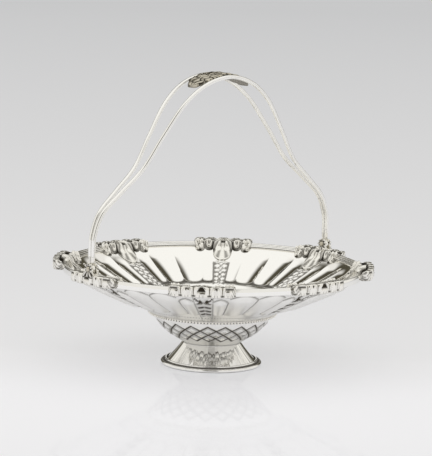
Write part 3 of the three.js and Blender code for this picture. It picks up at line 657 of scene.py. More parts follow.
# %% The fluted dish
PUNCH_RADIUS = 72.3  # the fine line of punch marks below the flutes
PUNCHES = 160
PUNCH_SIZE = (1.0, 0.3)  # a mark's half height in mm, and half width as a share of the spacing
TRACED_DEPTH, PUNCHED_DEPTH = 0.45, 0.35
LIP_FROM_LINE, LIP_WIDTH, LIP_HEIGHT = 1.5, 0.6, 0.25  # the swelling that the tracer throws up
SATIN = 0.2  # recess all over the outside, which the mop reaches less: it dulls but does not darken
STEP_PAINTED_SHADE = 0.9
STEP_DARK_WIDTH = 6.5  # how wide the painted shade at the scalloped step is inside
DISH_ROWS, DISH_INNER_ROWS = 72, 62
dish_angle = np.arange(720) * 0.5  # so that every crease lies on a column of points
dish_share = np.linspace(0, 1, DISH_ROWS)
flange = np.stack([np.linspace(DISH_RADIUS, bowl_high[0], 3)[1:], np.full(2, dish_edge[1])], -1)
shoulder = np.array([(CUP_RADIUS, cup_top), (CUP_RADIUS + STEP_WIDTH * 0.6, cup_top + STEP_RISE * 0.3)])
dish_profile = np.concatenate([shoulder, dish_curve(dish_share), flange])
dish_inward = inward(dish_profile)
dish_inward[0] = cup_inward[-1]
dish_inward[-2:] = (0, 1)
fades = np.ones((len(dish_profile), 1))
fades[-2:] = 0  # the flange at the edge carries no relief
place_radius, place_angle = dish_profile[:, :1], dish_angle[None, :]
depth = flute_depth(place_radius, place_angle) * fades
husks, husk_tint = husk_relief(place_radius, place_angle)
from_edge = flute_outline(place_radius, place_angle)
traced = line_mark(from_edge, TRACED_WIDTH) * fades
lip = line_mark(from_edge - LIP_FROM_LINE, LIP_WIDTH) * fades
punch_turn = np.mod(place_angle * PUNCHES / 360, 1) - 0.5
punch = hump(np.hypot((place_radius - PUNCH_RADIUS) / PUNCH_SIZE[0], punch_turn / PUNCH_SIZE[1]))
marks = PUNCHED_DEPTH * punch + TRACED_DEPTH * traced - LIP_HEIGHT * lip
outer_height = -depth - husks * fades + marks
outer_tint = SATIN + husk_tint + 0.6 * punch + 0.6 * traced
outside = relief_grid(dish_profile, dish_inward, dish_angle, outer_height)
inner_rows = np.linspace(len(dish_profile) - 1, 0, DISH_INNER_ROWS).round().astype(int)
knobs, knob_tint = knob_relief(place_radius[inner_rows], place_angle)
inner_height = BOWL_WALL - trough_depth(place_radius, place_angle)[inner_rows] * fades[inner_rows] + knobs
division, across, _ = division_place(place_angle)
to_step = place_radius[inner_rows] - FLUTE_FOOT
step_end = STEP_DARK_WIDTH + CUSP * across**6
# Painted shade: a dark band along the scalloped step at the flutes' feet.
step_painted_shade = blend_smooth(-1.0, 0.5, to_step) * blend_smooth(step_end + 1.5, step_end - 1.5, to_step)
inner_tint = np.maximum(knob_tint, STEP_PAINTED_SHADE * step_painted_shade * (division > 0))
inside = relief_grid(dish_profile[inner_rows], dish_inward[inner_rows], dish_angle, inner_height)
dish_skin = ring_skin(np.concatenate([outside, inside]), np.concatenate([outer_tint, inner_tint]))
make_piece("bowl_dish", [dish_skin], polished_silver, "basket", ["bowl"])

# %% [markdown]
# The beaded wire hides the shoulder. It is a drawn wire rolled between dies that press it into
# pearls, 124 of them by the spacing in the photograph. An array along a circle would do it too.
# Here each pearl is a small grid of its own, joined to one thin ring in the same mesh, and kept to
# a few dozen faces because there are so many.

# %% Beaded wire
PEARLS = 124
PEARL_RADIUS = 1.3
PEARL_SET_IN = 0.9  # how far the pearls' middles lie inside the construction's outline
WIRE_RADIUS = 0.7
bead_middle = np.array([bead_high[0] - PEARL_SET_IN, (bead_low[2] + bead_high[2]) / 2])


def pearl_points(centres, radius, rows=6, columns=8):
    """Small balls round many centres: (balls, rows, columns, 3). The polar angle stops short of the
    poles, which the fans of tube_skin close."""
    polar = np.radians(np.linspace(12, 168, rows))[:, None]
    turn = full_turn(columns)[None, :]
    ball = np.stack(
        [np.sin(polar) * np.cos(turn), np.sin(polar) * np.sin(turn), np.cos(polar) + 0 * turn], -1
    )
    return centres[:, None, None, :] + radius * ball


pearl_centres = around(bead_middle[0], np.arange(PEARLS) * 360 / PEARLS, bead_middle[1])
below = np.sin(full_turn(10)) < 0.1
pearl_wire_shade = np.repeat(np.where(below, 1.0, 0.4)[:, None], 2 * PEARLS, 1)  # painted shade: the wire between the pearls is darkened, fully on its underside
wire_skin = ring_skin(swept(arc(bead_middle, WIRE_RADIUS, 0, 324, 10), 2 * PEARLS), pearl_wire_shade)
pearls = [tube_skin(ball) for ball in pearl_points(pearl_centres, PEARL_RADIUS)]
make_piece("beaded_wire", [wire_skin] + pearls, cast_silver, "basket", ["bead_wire"])

# %% [markdown]
# The border's plain lengths are drawn mouldings bent to the bowl's edge: a smooth tall outer face
# and, on the inner slope, fine reeds. A drawn section is the same all along, so one outline is
# carried along an arc, which is also how a moulding would be made with a curve and a bevel object.

# %% Plain lengths of the border
ORNAMENT_HALF_ANGLE = 11.8
RIM_INNER_LAP = 1.4
BORDER_WIDTH = 3.2  # from the bowl's edge out to the face
REEDS = 3
REED_HEIGHT = 0.55
REED_POINTS = 10  # for each reed
ROLL_RADIUS = 0.8  # of the rolled top
FACE_POINTS, ROLL_POINTS = 14, 8
FACE_SWELL = 0.6

skirt_inner = bowl_high[0] + GAP
skirt_bottom = plain_low[2]
rim_bottom = bowl_high[2] + GAP
rim_top = plain_high[2]
rim_radius = skirt_inner + BORDER_WIDTH
lap_radius = DISH_RADIUS - RIM_INNER_LAP


def plain_outline():
    """The moulding's section: a face that swells as a half sine, a rolled top and, down to the bowl,
    reeds that are each half a sine wave on a straight slope."""
    face_height = np.linspace(0, 1, FACE_POINTS)
    face = np.stack([
        rim_radius - 0.2 + FACE_SWELL * np.sin(np.pi * face_height) ** 0.7,
        skirt_bottom + 0.5 + face_height * (rim_top - skirt_bottom - 0.5 - ROLL_RADIUS),
    ], -1)
    roll = arc((rim_radius - 1.0, rim_top - ROLL_RADIUS), ROLL_RADIUS, 0, 120, ROLL_POINTS)
    across = np.linspace(0, 1, REED_POINTS * REEDS)
    start, end = roll[-1], np.array([lap_radius, rim_bottom + 0.9])
    reeds = start + (end - start) * across[:, None]
    reeds[:, 1] += REED_HEIGHT * np.abs(np.sin(np.pi * REEDS * across))
    under = [(lap_radius, rim_bottom), (skirt_inner, rim_bottom), (skirt_inner, skirt_bottom)]
    return np.concatenate([face, roll, reeds[1:], under, [(rim_radius - 1, skirt_bottom)]])


def plain_tint(outline):
    """Dark in the furrows between the reeds: where the same sine comes near 0."""
    tint = np.zeros(len(outline))
    across = np.linspace(0, 1, REED_POINTS * REEDS)[1:]
    first = FACE_POINTS + ROLL_POINTS
    tint[first : first + len(across)] = line_mark(np.abs(np.sin(np.pi * REEDS * across)), 0.35)
    return tint


outline = plain_outline()
gap_angle = np.degrees(GAP / rim_radius)
plain_half = 180 / PANELS - ORNAMENT_HALF_ANGLE - gap_angle / 2
for number in range(PANELS):
    middle = (number + 0.5) * 360 / PANELS
    angle = middle + np.linspace(-plain_half, plain_half, 40)
    points = around(outline[None, :, 0], angle[:, None], outline[None, :, 1])
    tint = np.repeat(plain_tint(outline)[None, :], len(angle), 0)
    name = f"plain_border_{number + 1}"
    nodes = [f"rim_plain_{number + 1}"]
    make_piece(name, [tube_skin(points, tint)], polished_silver, "basket", nodes)

# %% [markdown]
# The eight ornaments are castings from one mould. Outside, five pillow-shaped lobes stand out past
# the border, parted by deep cuts. Inside, a scallop shell hangs from the border down into the bowl,
# between curled leaves and roses. A sculptor would model the wax, and Blender's sculpt mode could
# follow. Here the wax is a height above the ornament's ground, the highest of a few simple forms,
# each a formula of the place: that keeps the eight alike and their hollows known to the finish.

# %% Lobes of the outer edge
ORNAMENT_REACH = 9.0  # how far the lobes stand out past the border's face
ORNAMENT_RISE = 3.1
LOBE_EDGES = (7.0, 18.1, 29.8)  # mm from the middle, measured along the border
LOBE_FALL = (1.0, 0.97, 0.9)  # how far each lobe reaches out, from the middle one to the last
LOBE_ROUND = 2.2
CUT_FLOOR = 0.62  # how far out the bottoms of the cuts between lobes lie, as a share
END_FLOOR = 0.15  # the same at the ornament's two ends


def lobe_place(along):
    """Which lobe a place is on (0 is the middle one), and where across it, from -1 to 1."""
    side = np.abs(along)
    lobe = np.searchsorted(LOBE_EDGES[:2], side)
    low = np.array([-LOBE_EDGES[0], *LOBE_EDGES[:2]])[lobe]
    high = np.array(LOBE_EDGES)[lobe]
    return lobe, np.clip(2 * (side - low) / (high - low) - 1, -1, 1)


# %% Forms inside the ornament
SHELL_HALF_WIDTH = 10.6
SHELL_RIBS = 9
CURL_PLACE, CURL_RADIUS = (14.8, 8.0), 5.0  # along the border, and inwards from its outer edge
ROSE_PLACE, ROSE_RADIUS = (25.0, 8.6), 5.5
LEAF_PLACES = ((20.3, 12.6, 2.6), (10.6, 4.2, 2.4), (19.6, 4.6, 2.2), (29.2, 4.0, 2.0))
PENDANT_REACH = 16.6  # how far the shell hangs down the bowl
CURL_HANG, ROSE_HANG, LEAST_HANG = 3.4, 4.6, 0.4  # how far the other forms do
SHELL_FAN = 2.4  # how tightly the ribs follow each other round the hinge
SHELL_BOSSES = ((4.6, 13.0), (3.3, 4.2))  # the place of a pair of oval swellings, and their size
SHELL_LIP = 1.5  # how far from the shell's end its rolled lip lies, and its width
SHELL_DRILL = (6.5, 2.6, 2.4)  # the drilled hollow: its place, half width and half length
CURL_TURNS, CURL_RIDGE = 1.7, 0.27
ROSE_RINGS = ((0.66, 0.38, 1.0), (0.36, 0.22, 0.95))  # radius, half width and height of each ring
ROSE_BOSS = 0.17
ROSE_PETALS = 2.5  # half the petals in a ring
LEAF_HEIGHT, LEAF_LENGTH, LEAF_VEIN = 0.7, 1.5, 0.16


def shell_form(x, y, hang):
    """A scallop shell: ribs that fan out downwards from its hinge, a cosine of the angle there,
    two oval swellings, a drilled hollow, and a rolled lip at the lower edge."""
    fan = np.arctan2(x, y + 4)
    rib = 0.5 + 0.5 * np.cos(fan * SHELL_RIBS * SHELL_FAN)
    body = hump(x / SHELL_HALF_WIDTH) ** 0.6
    place, size = SHELL_BOSSES
    bosses = hump(np.hypot((np.abs(x) - place[0]) / size[0], (y - place[1]) / size[1]))
    height = body * (0.5 + 0.28 * rib * (1 - bosses) + 0.4 * bosses)
    lip = line_mark(hang - SHELL_LIP, SHELL_LIP) * (np.abs(x) < SHELL_HALF_WIDTH)
    drill = hump(np.hypot(x / SHELL_DRILL[1], (y - SHELL_DRILL[0]) / SHELL_DRILL[2]))
    dark = (1 - blend_smooth(0.1, 0.7, rib)) * (1 - bosses) + line_mark(bosses - 0.12, 0.14)
    dark = np.maximum(dark * 0.35, drill) * (1 - lip)
    return np.maximum(height, lip) - 0.5 * drill, dark


def curl_form(x, y):
    """A leaf that winds in on itself: a ridge wherever the turns of a spiral, distance less angle,
    come to a whole number and a half, on a ground that rises to the middle."""
    dx, dy = x - CURL_PLACE[0], y - CURL_PLACE[1]
    far = np.hypot(dx, dy) / CURL_RADIUS
    wind = np.mod(far * CURL_TURNS - np.arctan2(dy, dx) / (2 * np.pi), 1) - 0.5
    ridge = line_mark(wind, CURL_RIDGE)
    height = hump(far) ** 0.5 * (0.45 + 0.45 * ridge)
    return height, 0.7 * (1 - ridge) * (far < 1)


def rose_form(x, y):
    """Two rings of petals round a boss: each ring is a round swelling along a circle, notched by
    the angle, and the inner petals stand over the outer ones' gaps."""
    dx, dy = x - ROSE_PLACE[0], y - ROSE_PLACE[1]
    far, turn = np.hypot(dx, dy) / ROSE_RADIUS, np.arctan2(dy, dx)
    swell = [tall * hump((far - middle) / half) for middle, half, tall in ROSE_RINGS]
    outer = swell[0] * (0.35 + 0.65 * np.abs(np.cos(ROSE_PETALS * turn)) ** 0.6)
    inner = swell[1] * (0.4 + 0.6 * np.abs(np.sin(ROSE_PETALS * turn)) ** 0.6)
    height = np.maximum.reduce([outer, inner, hump(far / ROSE_BOSS)])
    return height * (far < 1.04), 0.8 * (1 - blend_smooth(0.1, 0.5, height)) * (far < 1)


def leaf_form(x, y, place):
    """A small oval leaf with a vein sunk along it."""
    dx, dy = (x - place[0]) / place[2], (y - place[1]) / (LEAF_LENGTH * place[2])
    far = np.hypot(dx, dy)
    vein = 0.8 * line_mark(dx, LEAF_VEIN) * (far < 1)
    return LEAF_HEIGHT * hump(far) * (0.75 + 0.25 * np.abs(dx)), vein


def ornament_wax(x, y, hang):
    """The height of the highest form (0 to 1) at a place, and how dark its hollows are."""
    side = np.abs(x)
    forms = [shell_form(x, y, hang), curl_form(side, y), rose_form(side, y)]
    forms += [leaf_form(side, y, place) for place in LEAF_PLACES]
    heights = np.stack([height for height, _ in forms])
    darks = np.stack([dark for _, dark in forms])
    height = heights.max(0)
    dark = np.take_along_axis(darks, heights.argmax(0)[None], 0)[0]
    # Painted shade: the lower the wax, the darker it is, and the bare ground between the forms is nearly
    # black.
    ground = 1 - blend_smooth(0.04, 0.22, height)
    painted_crevice_shade = 1.0 - blend_smooth(0.28, 0.82, height)
    return height, np.maximum.reduce([dark, 0.95 * ground, painted_crevice_shade])


def hang_reach(along):
    """How far the ornament reaches down the bowl past the border's inner edge, in mm."""
    side = np.abs(along)
    shell = PENDANT_REACH * hump(along / SHELL_HALF_WIDTH) ** 0.55
    curl = CURL_HANG * hump((side - CURL_PLACE[0]) / CURL_RADIUS)
    rose = ROSE_HANG * hump((side - ROSE_PLACE[0]) / ROSE_RADIUS)
    return np.maximum.reduce([shell, curl, rose, LEAST_HANG + 0 * side])


# %% An ornament's lobed face
LENGTH_STEPS, FACE_ROWS, LOBE_ROWS, WAX_ROWS, BASE_ROWS = 241, 18, 14, 74, 8
DRILL_HALF_WIDTH, DRILL_DEPTH = 4.6, 1.2
SLOT_DEPTH, GAP_DEPTH, LINE_DEPTH, STROKE_DEPTH = 0.6, 0.7, 0.3, 0.4


def lobed_face(along, lobe, place, reach, top):
    """The face's radius, height and darkness: a flattened half round in each section, cut by marks.
    Up goes from 0 at the skirt to 1 at the top, and each mark is a line or spot in place and up."""
    turn = np.radians(np.linspace(-88, 88, FACE_ROWS))[None, :]
    middle_height, half_height = (top + skirt_bottom) / 2, (top - skirt_bottom) / 2
    height = middle_height + half_height * np.sign(turn) * np.abs(np.sin(turn)) ** 0.7
    up = (height - skirt_bottom) / (top - skirt_bottom)
    # A drilled triangle in the middle lobe, small hollows under the gaps between the lobes.
    drill = blend_smooth(1.0, 0.8, np.abs(along) / DRILL_HALF_WIDTH + 1.3 * (up - 0.5))
    drill = drill * blend_smooth(0.46, 0.54, up) * blend_smooth(0.98, 0.92, up)
    between = blend_smooth(0.88, 0.98, np.abs(place)) * (np.abs(along) < LOBE_EDGES[1] + 1)
    under_gaps = blend_smooth(0.5, 0.9, np.abs(place)) * line_mark(up - 0.16, 0.1)
    # A slot and slanting strokes in the last lobe, a dot in the one before it.
    slot = line_mark(up - 0.8, 0.11) * blend_smooth(-0.7, -0.5, place) * (lobe == 2)
    slot = slot * blend_smooth(0.75, 0.55, place)
    strokes = line_mark(np.mod(2.6 * place + 2.2 * up, 1) - 0.5, 0.17) * (lobe == 2) * (place > 0.3)
    dot = hump(np.hypot((place - 0.1) / 0.16, (up - 0.78) / 0.1))
    dot = blend_smooth(0, 0.4, dot) * (lobe == 1)
    # An oval line round each outer lobe, and two short veins at the foot of every lobe.
    oval = np.hypot(place, (up - 0.42) / 0.62) / 0.78
    curl = line_mark(oval - 1, 0.09) * blend_smooth(0.05, 0.3, up) * (lobe > 0)
    veins = line_mark(np.abs(place) - 0.22, 0.07) * blend_smooth(0.34, 0.2, up)
    radius = reach - LOBE_ROUND + LOBE_ROUND * np.abs(np.cos(turn)) ** 0.45 - DRILL_DEPTH * drill
    radius = radius - SLOT_DEPTH * slot - GAP_DEPTH * under_gaps * (np.abs(place) < 0.97)
    radius = radius - LINE_DEPTH * curl - STROKE_DEPTH * strokes
    # Painted shade: the cuts between the lobes and the foot of the face are darkened, along with the marks.
    dark = np.maximum.reduce([
        0.6 * between * blend_smooth(0.2, 0.4, up), drill, 0.7 * blend_smooth(0.08, 0.0, up),
        under_gaps, slot, dot, 0.42 * curl, 0.6 * veins, 0.85 * strokes,
    ])
    return radius, height, dark


# %% One ornament's skin
VALLEY_RADIUS = 147.2  # where the lobes' tops fall to the ground of the forms inside
VALLEY_MARGIN = 0.6  # the least distance from where the tops begin to the valley
TOP_RIB = 0.3  # how high the ribs on the lobes' tops stand
STEEPNESS = 1.4  # mm along the bowl's slope for each mm of radius
GROUND_DROP, GROUND_FALL = 0.5, 1.6  # how far the ground lies below the top, and falls inwards
GROUND_ON_BOWL = 0.5  # how far it lies over the bowl's face
WAX_HEIGHT, WAX_LESS_INSIDE = 5.0, 2.2
WAX_INWARD, WAX_LESS_UP = 0.55, 0.25  # how the wax leans into the bowl, as shares of its height
THIN_EDGE, THIN_PENDANT = 2.4, 10.6  # mm over which the wax thins, and mm more on the pendant
NO_LIP, PENDANT_FROM = 9, 5  # mm that keep the shell's lip away where less than 5 mm hang down
SEAT_HALF_WIDTH = 7.5  # the flat that takes the hinge lug on two of the ornaments
SEAT_INNER = 144.2
bowl_face = dish_profile + dish_inward * (BOWL_WALL + GAP / 2)


def on_bowl(radius):
    """The height of the bowl's inner face at a radius, read off its profile."""
    return np.interp(radius, bowl_face[:-2, 0], bowl_face[:-2, 1])


def ornament_skin(middle):
    """Sections across the border: lobed face, lobes' tops, modelled wax, and the bearing under it."""
    angle = np.linspace(-ORNAMENT_HALF_ANGLE, ORNAMENT_HALF_ANGLE, LENGTH_STEPS)[:, None]
    along = np.radians(angle) * rim_radius
    lobe, place = lobe_place(along)
    at_end = (lobe == 2) & (place > 0)
    swell = hump(0.985 * place) ** np.where(at_end, 0.9, 0.7)
    least = np.where(at_end, END_FLOOR, CUT_FLOOR)
    reach = rim_radius + ORNAMENT_REACH * (least + (1 - least) * swell * np.array(LOBE_FALL)[lobe])
    top = rim_top + ORNAMENT_RISE * (0.2 + 0.8 * swell)
    face_radius, face_height, face_dark = lobed_face(along, lobe, place, reach, top)
    # The lobes' tops, ribbed across the border, fall into a valley.
    across = np.linspace(0, 1, LOBE_ROWS + 1)[None, 1:]
    start = reach - LOBE_ROUND
    valley = np.minimum(VALLEY_RADIUS, start - VALLEY_MARGIN)
    lobe_radius = start + (valley - start) * across
    rib = np.cos(place * 2.5 * np.pi)
    fall = (top - rim_top + GROUND_DROP) * across**3
    lobe_height = top + TOP_RIB * rib * np.sin(np.pi * across) - fall
    furrows = 0.8 * blend_smooth(-0.4, -0.9, rib) + 0 * across
    # Painted shade: the tops darken as they fall into the valley, over the dark furrows between the ribs.
    lobe_dark = np.maximum(furrows, blend_smooth(0.3, 0.8, across))
    # The wax on its ground, from the valley over the border's inner edge and down the bowl. Its
    # place x, y is measured along the border and along the slope.
    hang = hang_reach(along)
    end = lap_radius - hang
    share = np.linspace(0, 1, WAX_ROWS + 1)[None, 1:]
    radius = valley + (end - valley) * share
    down = lap_radius - radius
    y = rim_radius + 1 - lap_radius + np.where(down < 0, down, STEEPNESS * down)
    to_end = STEEPNESS * (radius - end)
    from_lip = to_end + NO_LIP * (hang < PENDANT_FROM)
    wax, dark = ornament_wax(np.radians(angle) * radius, y, from_lip)
    on_border = rim_top - GROUND_DROP - GROUND_FALL * (rim_radius - radius) / (rim_radius - lap_radius)
    into_bowl = blend_smooth(lap_radius + 1.2, lap_radius - 1.4, radius)
    ground = on_border + (on_bowl(radius) + GROUND_ON_BOWL - on_border) * into_bowl
    pendant = blend_smooth(SHELL_HALF_WIDTH + 1, SHELL_HALF_WIDTH - 1, np.abs(along))
    thinned = np.clip(to_end / (THIN_EDGE + THIN_PENDANT * pendant), 0, 1) ** 0.7
    rise = (WAX_HEIGHT - WAX_LESS_INSIDE * into_bowl) * wax * thinned
    wax_radius = radius - WAX_INWARD * rise * into_bowl
    wax_height = ground + rise * (1 - WAX_LESS_UP * into_bowl)
    # The bearing: along the bowl's face, under the border's ground and up inside the skirt.
    back = np.linspace(0, 1, BASE_ROWS)[None, :]
    back_radius = end + (lap_radius - end) * back
    back_height = np.minimum(on_bowl(back_radius), rim_bottom + 2 * (1 - back))
    back_height[:, -1] = rim_bottom
    ones = np.ones_like(along)
    hem_place, hem_height = ones * [[skirt_inner, skirt_inner]], ones * [[rim_bottom, skirt_bottom]]
    radius = np.concatenate([face_radius, lobe_radius, wax_radius, back_radius, hem_place], 1)
    height = np.concatenate([face_height, lobe_height, wax_height, back_height, hem_height], 1)
    # The two ornaments on the X axis are cut flat where a lug stands.
    if middle % 180 == 0:
        seat_here = (radius > SEAT_INNER) & (np.abs(np.radians(angle) * radius) < SEAT_HALF_WIDTH)
        height = np.where(seat_here, np.minimum(height, rim_top - GAP), height)
    dark = np.concatenate([face_dark, lobe_dark, dark, 0 * back_radius, 0 * hem_height], 1)
    return tube_skin(around(radius, middle + angle, height), dark)


for number in range(PANELS):
    name = f"cast_ornament_{number + 1}"
    skin = ornament_skin(number * 360 / PANELS)
    make_piece(name, [skin], cast_silver, "basket", [f"rim_ornament_{number + 1}"])

# %% [markdown]
# The handle is two drawn wires that lie side by side at the pivots and spread apart over the top.
# Each is reeded: a furrow runs along its front and its back, so it shows a double highlight. A
# Blender curve with a bevel object could make it, but its handles give another kind of curve, and
# the wires have to follow the construction's own smooth path through a few points. So the path is
# worked out here, and the section is carried along it with one side kept square to the handle's
# plane.

# %% The handle's path
WIRE_DIAMETER = 4.0
HANDLE_SPREAD = 17.6  # how far each wire lies from the handle's middle plane at the top
SPREAD_START = 40.0  # how high above the pivots the wires begin to part
SPREAD_POWER = 1.3
SOCKET_TOP = 11.0  # how high above the pivots the wires leave the castings at their ends
HANDLE_SHARES = [  # points of the outline: shares of the half width and of the rise
    (1, 0.11), (0.993, 0.175), (0.939, 0.286), (0.795, 0.401), (0.642, 0.516), (0.503, 0.689),
    (0.351, 0.862), (0.194, 0.96), (0, 1),
]
wire_radius = WIRE_DIAMETER / 2
close_spread = wire_radius + GAP / 2
end_low, end_high = box_mm("handle_end_right")
pivot_x = (end_low[0] + end_high[0]) / 2
handle_rise = box_mm("handle_wire_front")[1][2] - wire_radius - pivot[2]
print("pivots at x", pivot_x, "handle rises", handle_rise)


def spread_at(rise):
    """The distance from the handle's middle plane to a wire, at heights above the pivots."""
    share = np.clip((rise - SPREAD_START) / (handle_rise - SPREAD_START), 0, 1)
    return close_spread + (HANDLE_SPREAD - close_spread) * share**SPREAD_POWER


def smooth_curve(knots, steps):
    """A centripetal Catmull-Rom curve through the knots: between two of them a cubic that leaves and
    arrives in directions set by their neighbours, weighed by the root of the distances."""
    before, beyond = [2 * knots[0] - knots[1]], [2 * knots[-1] - knots[-2]]
    p = np.concatenate([before, knots, beyond])
    d = np.sqrt(np.linalg.norm(np.diff(p, axis=0), axis=1))[:, None]
    d0, d1, d2 = d[:-2], d[1:-1], d[2:]
    a, b, c, e = p[:-3], p[1:-2], p[2:-1], p[3:]
    leave = ((b - a) / d0 - (c - a) / (d0 + d1) + (c - b) / d1) * d1
    arrive = ((c - b) / d1 - (e - b) / (d1 + d2) + (e - c) / d2) * d1
    t = np.linspace(0, 1, steps, endpoint=False)[None, :, None]
    b, c, leave, arrive = (v[:, None, :] for v in (b, c, leave, arrive))
    points = (
        b + leave * t + (-3 * b + 3 * c - 2 * leave - arrive) * t**2
        + (2 * b - 2 * c + leave + arrive) * t**3
    )
    return np.concatenate([points.reshape(-1, 3), knots[-1:]])


def wire_path(side, steps=24):
    """The middle line of one wire, from the left socket over the top to the right one."""
    start = SOCKET_TOP + GAP
    rises = np.array([start] + [handle_rise * up for _, up in HANDLE_SHARES])
    across = np.array([1] + [share for share, _ in HANDLE_SHARES])
    left = np.stack([-pivot_x * across, side * spread_at(rises), pivot[2] + rises], -1)
    right = left[-2::-1] * (-1, 1, 1)
    return smooth_curve(np.concatenate([left, right]), steps)


# %% The reeded wires
WIRE_COLUMNS = 28
FURROW_DEPTH, FURROW_WIDTH = 0.34, 0.28
FURROW_TINT = 0.35


def wire_skin_of(path):
    """A reeded section carried along a path: a circle whose radius dips, by a bell curve, on the
    sides that face forwards and backwards."""
    tangent = np.gradient(path, axis=0)
    tangent /= np.linalg.norm(tangent, axis=1)[:, None]
    outward = np.array([0, 1, 0]) - tangent * tangent[:, 1:2]
    outward /= np.linalg.norm(outward, axis=1)[:, None]
    raised = np.cross(tangent, outward)
    turn = full_turn(WIRE_COLUMNS)
    furrow = line_mark(np.cos(turn), FURROW_WIDTH)
    reach = wire_radius - FURROW_DEPTH * furrow
    section_y = reach * np.sin(turn)
    section_z = reach * np.cos(turn)
    points = (
        path[:, None, :] + outward[:, None, :] * section_y[None, :, None]
        + raised[:, None, :] * section_z[None, :, None]
    )
    return tube_skin(points, np.repeat(FURROW_TINT * furrow[None, :], len(path), 0))


for side, label in ((-1, "front"), (1, "back")):
    skin = wire_skin_of(wire_path(side))
    name = f"reeded_wire_{label}"
    make_piece(name, [skin], polished_silver, "handle", [f"handle_wire_{label}"])

# %% [markdown]
# The cartouche is cast and left dark in its hollows. It bridges the two wires at the top as a plate
# bent to their arch, with an oval boss in its middle and rows of leaves that fan out to both ends.
# Leaves modelled one by one would have to be joined, so they are one relief: ribs that follow a
# cosine across the plate, and rows that fall like a saw's teeth with the distance from the middle.
# The ribs shift the rows, and that makes the leaves pointed.

# %% The cartouche
CARTOUCHE_LENGTH = 67.0
CARTOUCHE_THICKNESS = 2.4
CARTOUCHE_RELIEF = 2.6
PLATE_ROWS, TOP_COLUMNS, UNDER_COLUMNS = 321, 121, 31
EDGE_LOBES, EDGE_DEPTH = 5, 0.26  # lobes along half the plate's edge, and how deep they are cut
END_WIDTH = 0.2  # how much of the width is left at the ends, as a share
LEAF_RIBS = 4.5  # ribs across the plate, halfway to its ends
LEAF_ROWS = 4.6  # rows of leaf tips from the middle to an end
SWAY = ((0.12, 11, 2.4), (0.1, 23, -3.1))  # height of a wave, its turn along and across the plate
BOSS_SIZE = (0.24, 0.55)  # half the boss's length and width, as shares of the plate's
# painted shade on the plate's underside
UNDER_PAINTED_SHADE = 0.6
top_path = wire_path(1, 60)


def arch_height(x):
    """The height of the wires' middle line over a place along X."""
    return np.interp(x, top_path[:, 0], top_path[:, 2])


def arch_spread(x):
    """The distance from the handle's plane to the wires over a place along X."""
    return np.interp(x, top_path[:, 0], top_path[:, 1])


def cartouche_skin():
    """A plate that follows the arch, under rows of leaves on both sides of an oval boss: the ribs
    go with the place across and spread towards the ends, the rows with the distance from the
    middle, and waves that sway both keep the leaves from standing in line."""
    share = np.linspace(-1, 1, PLATE_ROWS)[:, None]
    x = share * CARTOUCHE_LENGTH / 2
    taper = np.sqrt(np.clip(1 - share**4, 0, 1))
    room = arch_spread(x) - wire_radius - GAP
    lobes = 1 - EDGE_DEPTH + EDGE_DEPTH * np.abs(np.cos(share * EDGE_LOBES * np.pi)) ** 0.7
    half = room * (END_WIDTH + (lobes - END_WIDTH) * taper)
    across = np.linspace(-1, 1, TOP_COLUMNS)[None, :]
    edge = arch_height(x) + CARTOUCHE_THICKNESS / 2
    sway = sum(wave * np.sin(along * share + aside * across) for wave, along, aside in SWAY)
    fan = (across + sway) * (1.25 - 0.5 * np.abs(share))
    rib = np.abs(np.cos(np.pi / 2 * LEAF_RIBS * fan)) ** 0.8
    far = np.hypot(share, 0.5 * across) + 0.25 * sway
    row = np.mod(LEAF_ROWS * far - 0.5 * rib, 1)
    body = (hump(across) * taper) ** 0.6
    boss_far = np.hypot(share / BOSS_SIZE[0], across / BOSS_SIZE[1])
    leaves = body * (0.25 + 0.4 * rib + 0.35 * (1 - row) ** 0.7)
    rise = CARTOUCHE_RELIEF * np.maximum(leaves * (boss_far > 1), 1.1 * hump(boss_far))
    top = np.stack(np.broadcast_arrays(x, half * across, edge + rise), -1)
    under_across = np.linspace(1, -1, UNDER_COLUMNS)[None, :]
    under = np.stack(np.broadcast_arrays(x, half * under_across, edge - CARTOUCHE_THICKNESS), -1)
    # Dark are the furrows between the ribs, the low tips of each row and a line round the boss; the
    # underside is painted shade.
    furrow = 1 - blend_smooth(0.2, 0.85, rib)
    tips, line = blend_smooth(0.45, 0.9, row), line_mark(boss_far - 1.1, 0.16)
    tint = np.maximum.reduce([furrow, tips, line])
    tint = np.where(boss_far < 1, 0.5 * blend_smooth(0.5, 0.9, boss_far), tint)
    tint = np.concatenate([tint, UNDER_PAINTED_SHADE + 0 * under[..., 0]], 1)
    return tube_skin(np.concatenate([top, under], 1), tint)


nodes = ["handle_cartouche"]
make_piece(
    "cast_cartouche", [cartouche_skin()], darkened_silver, "handle", nodes
)

# %% [markdown]
# The hinge. A cast lug stands on the ornament at each side, two cheeks shaped like leaves that
# spread down to their seat, with buds at their feet. The handle's two wires run on into a casting
# that narrows to an eye between the cheeks. A cheek could be cut from a plate with booleans, but
# in polar form about the pin it is simpler and has even faces: its edge is a distance for each
# angle, and its veins follow the angle. The pins are plain, and keep the shapes they came with.

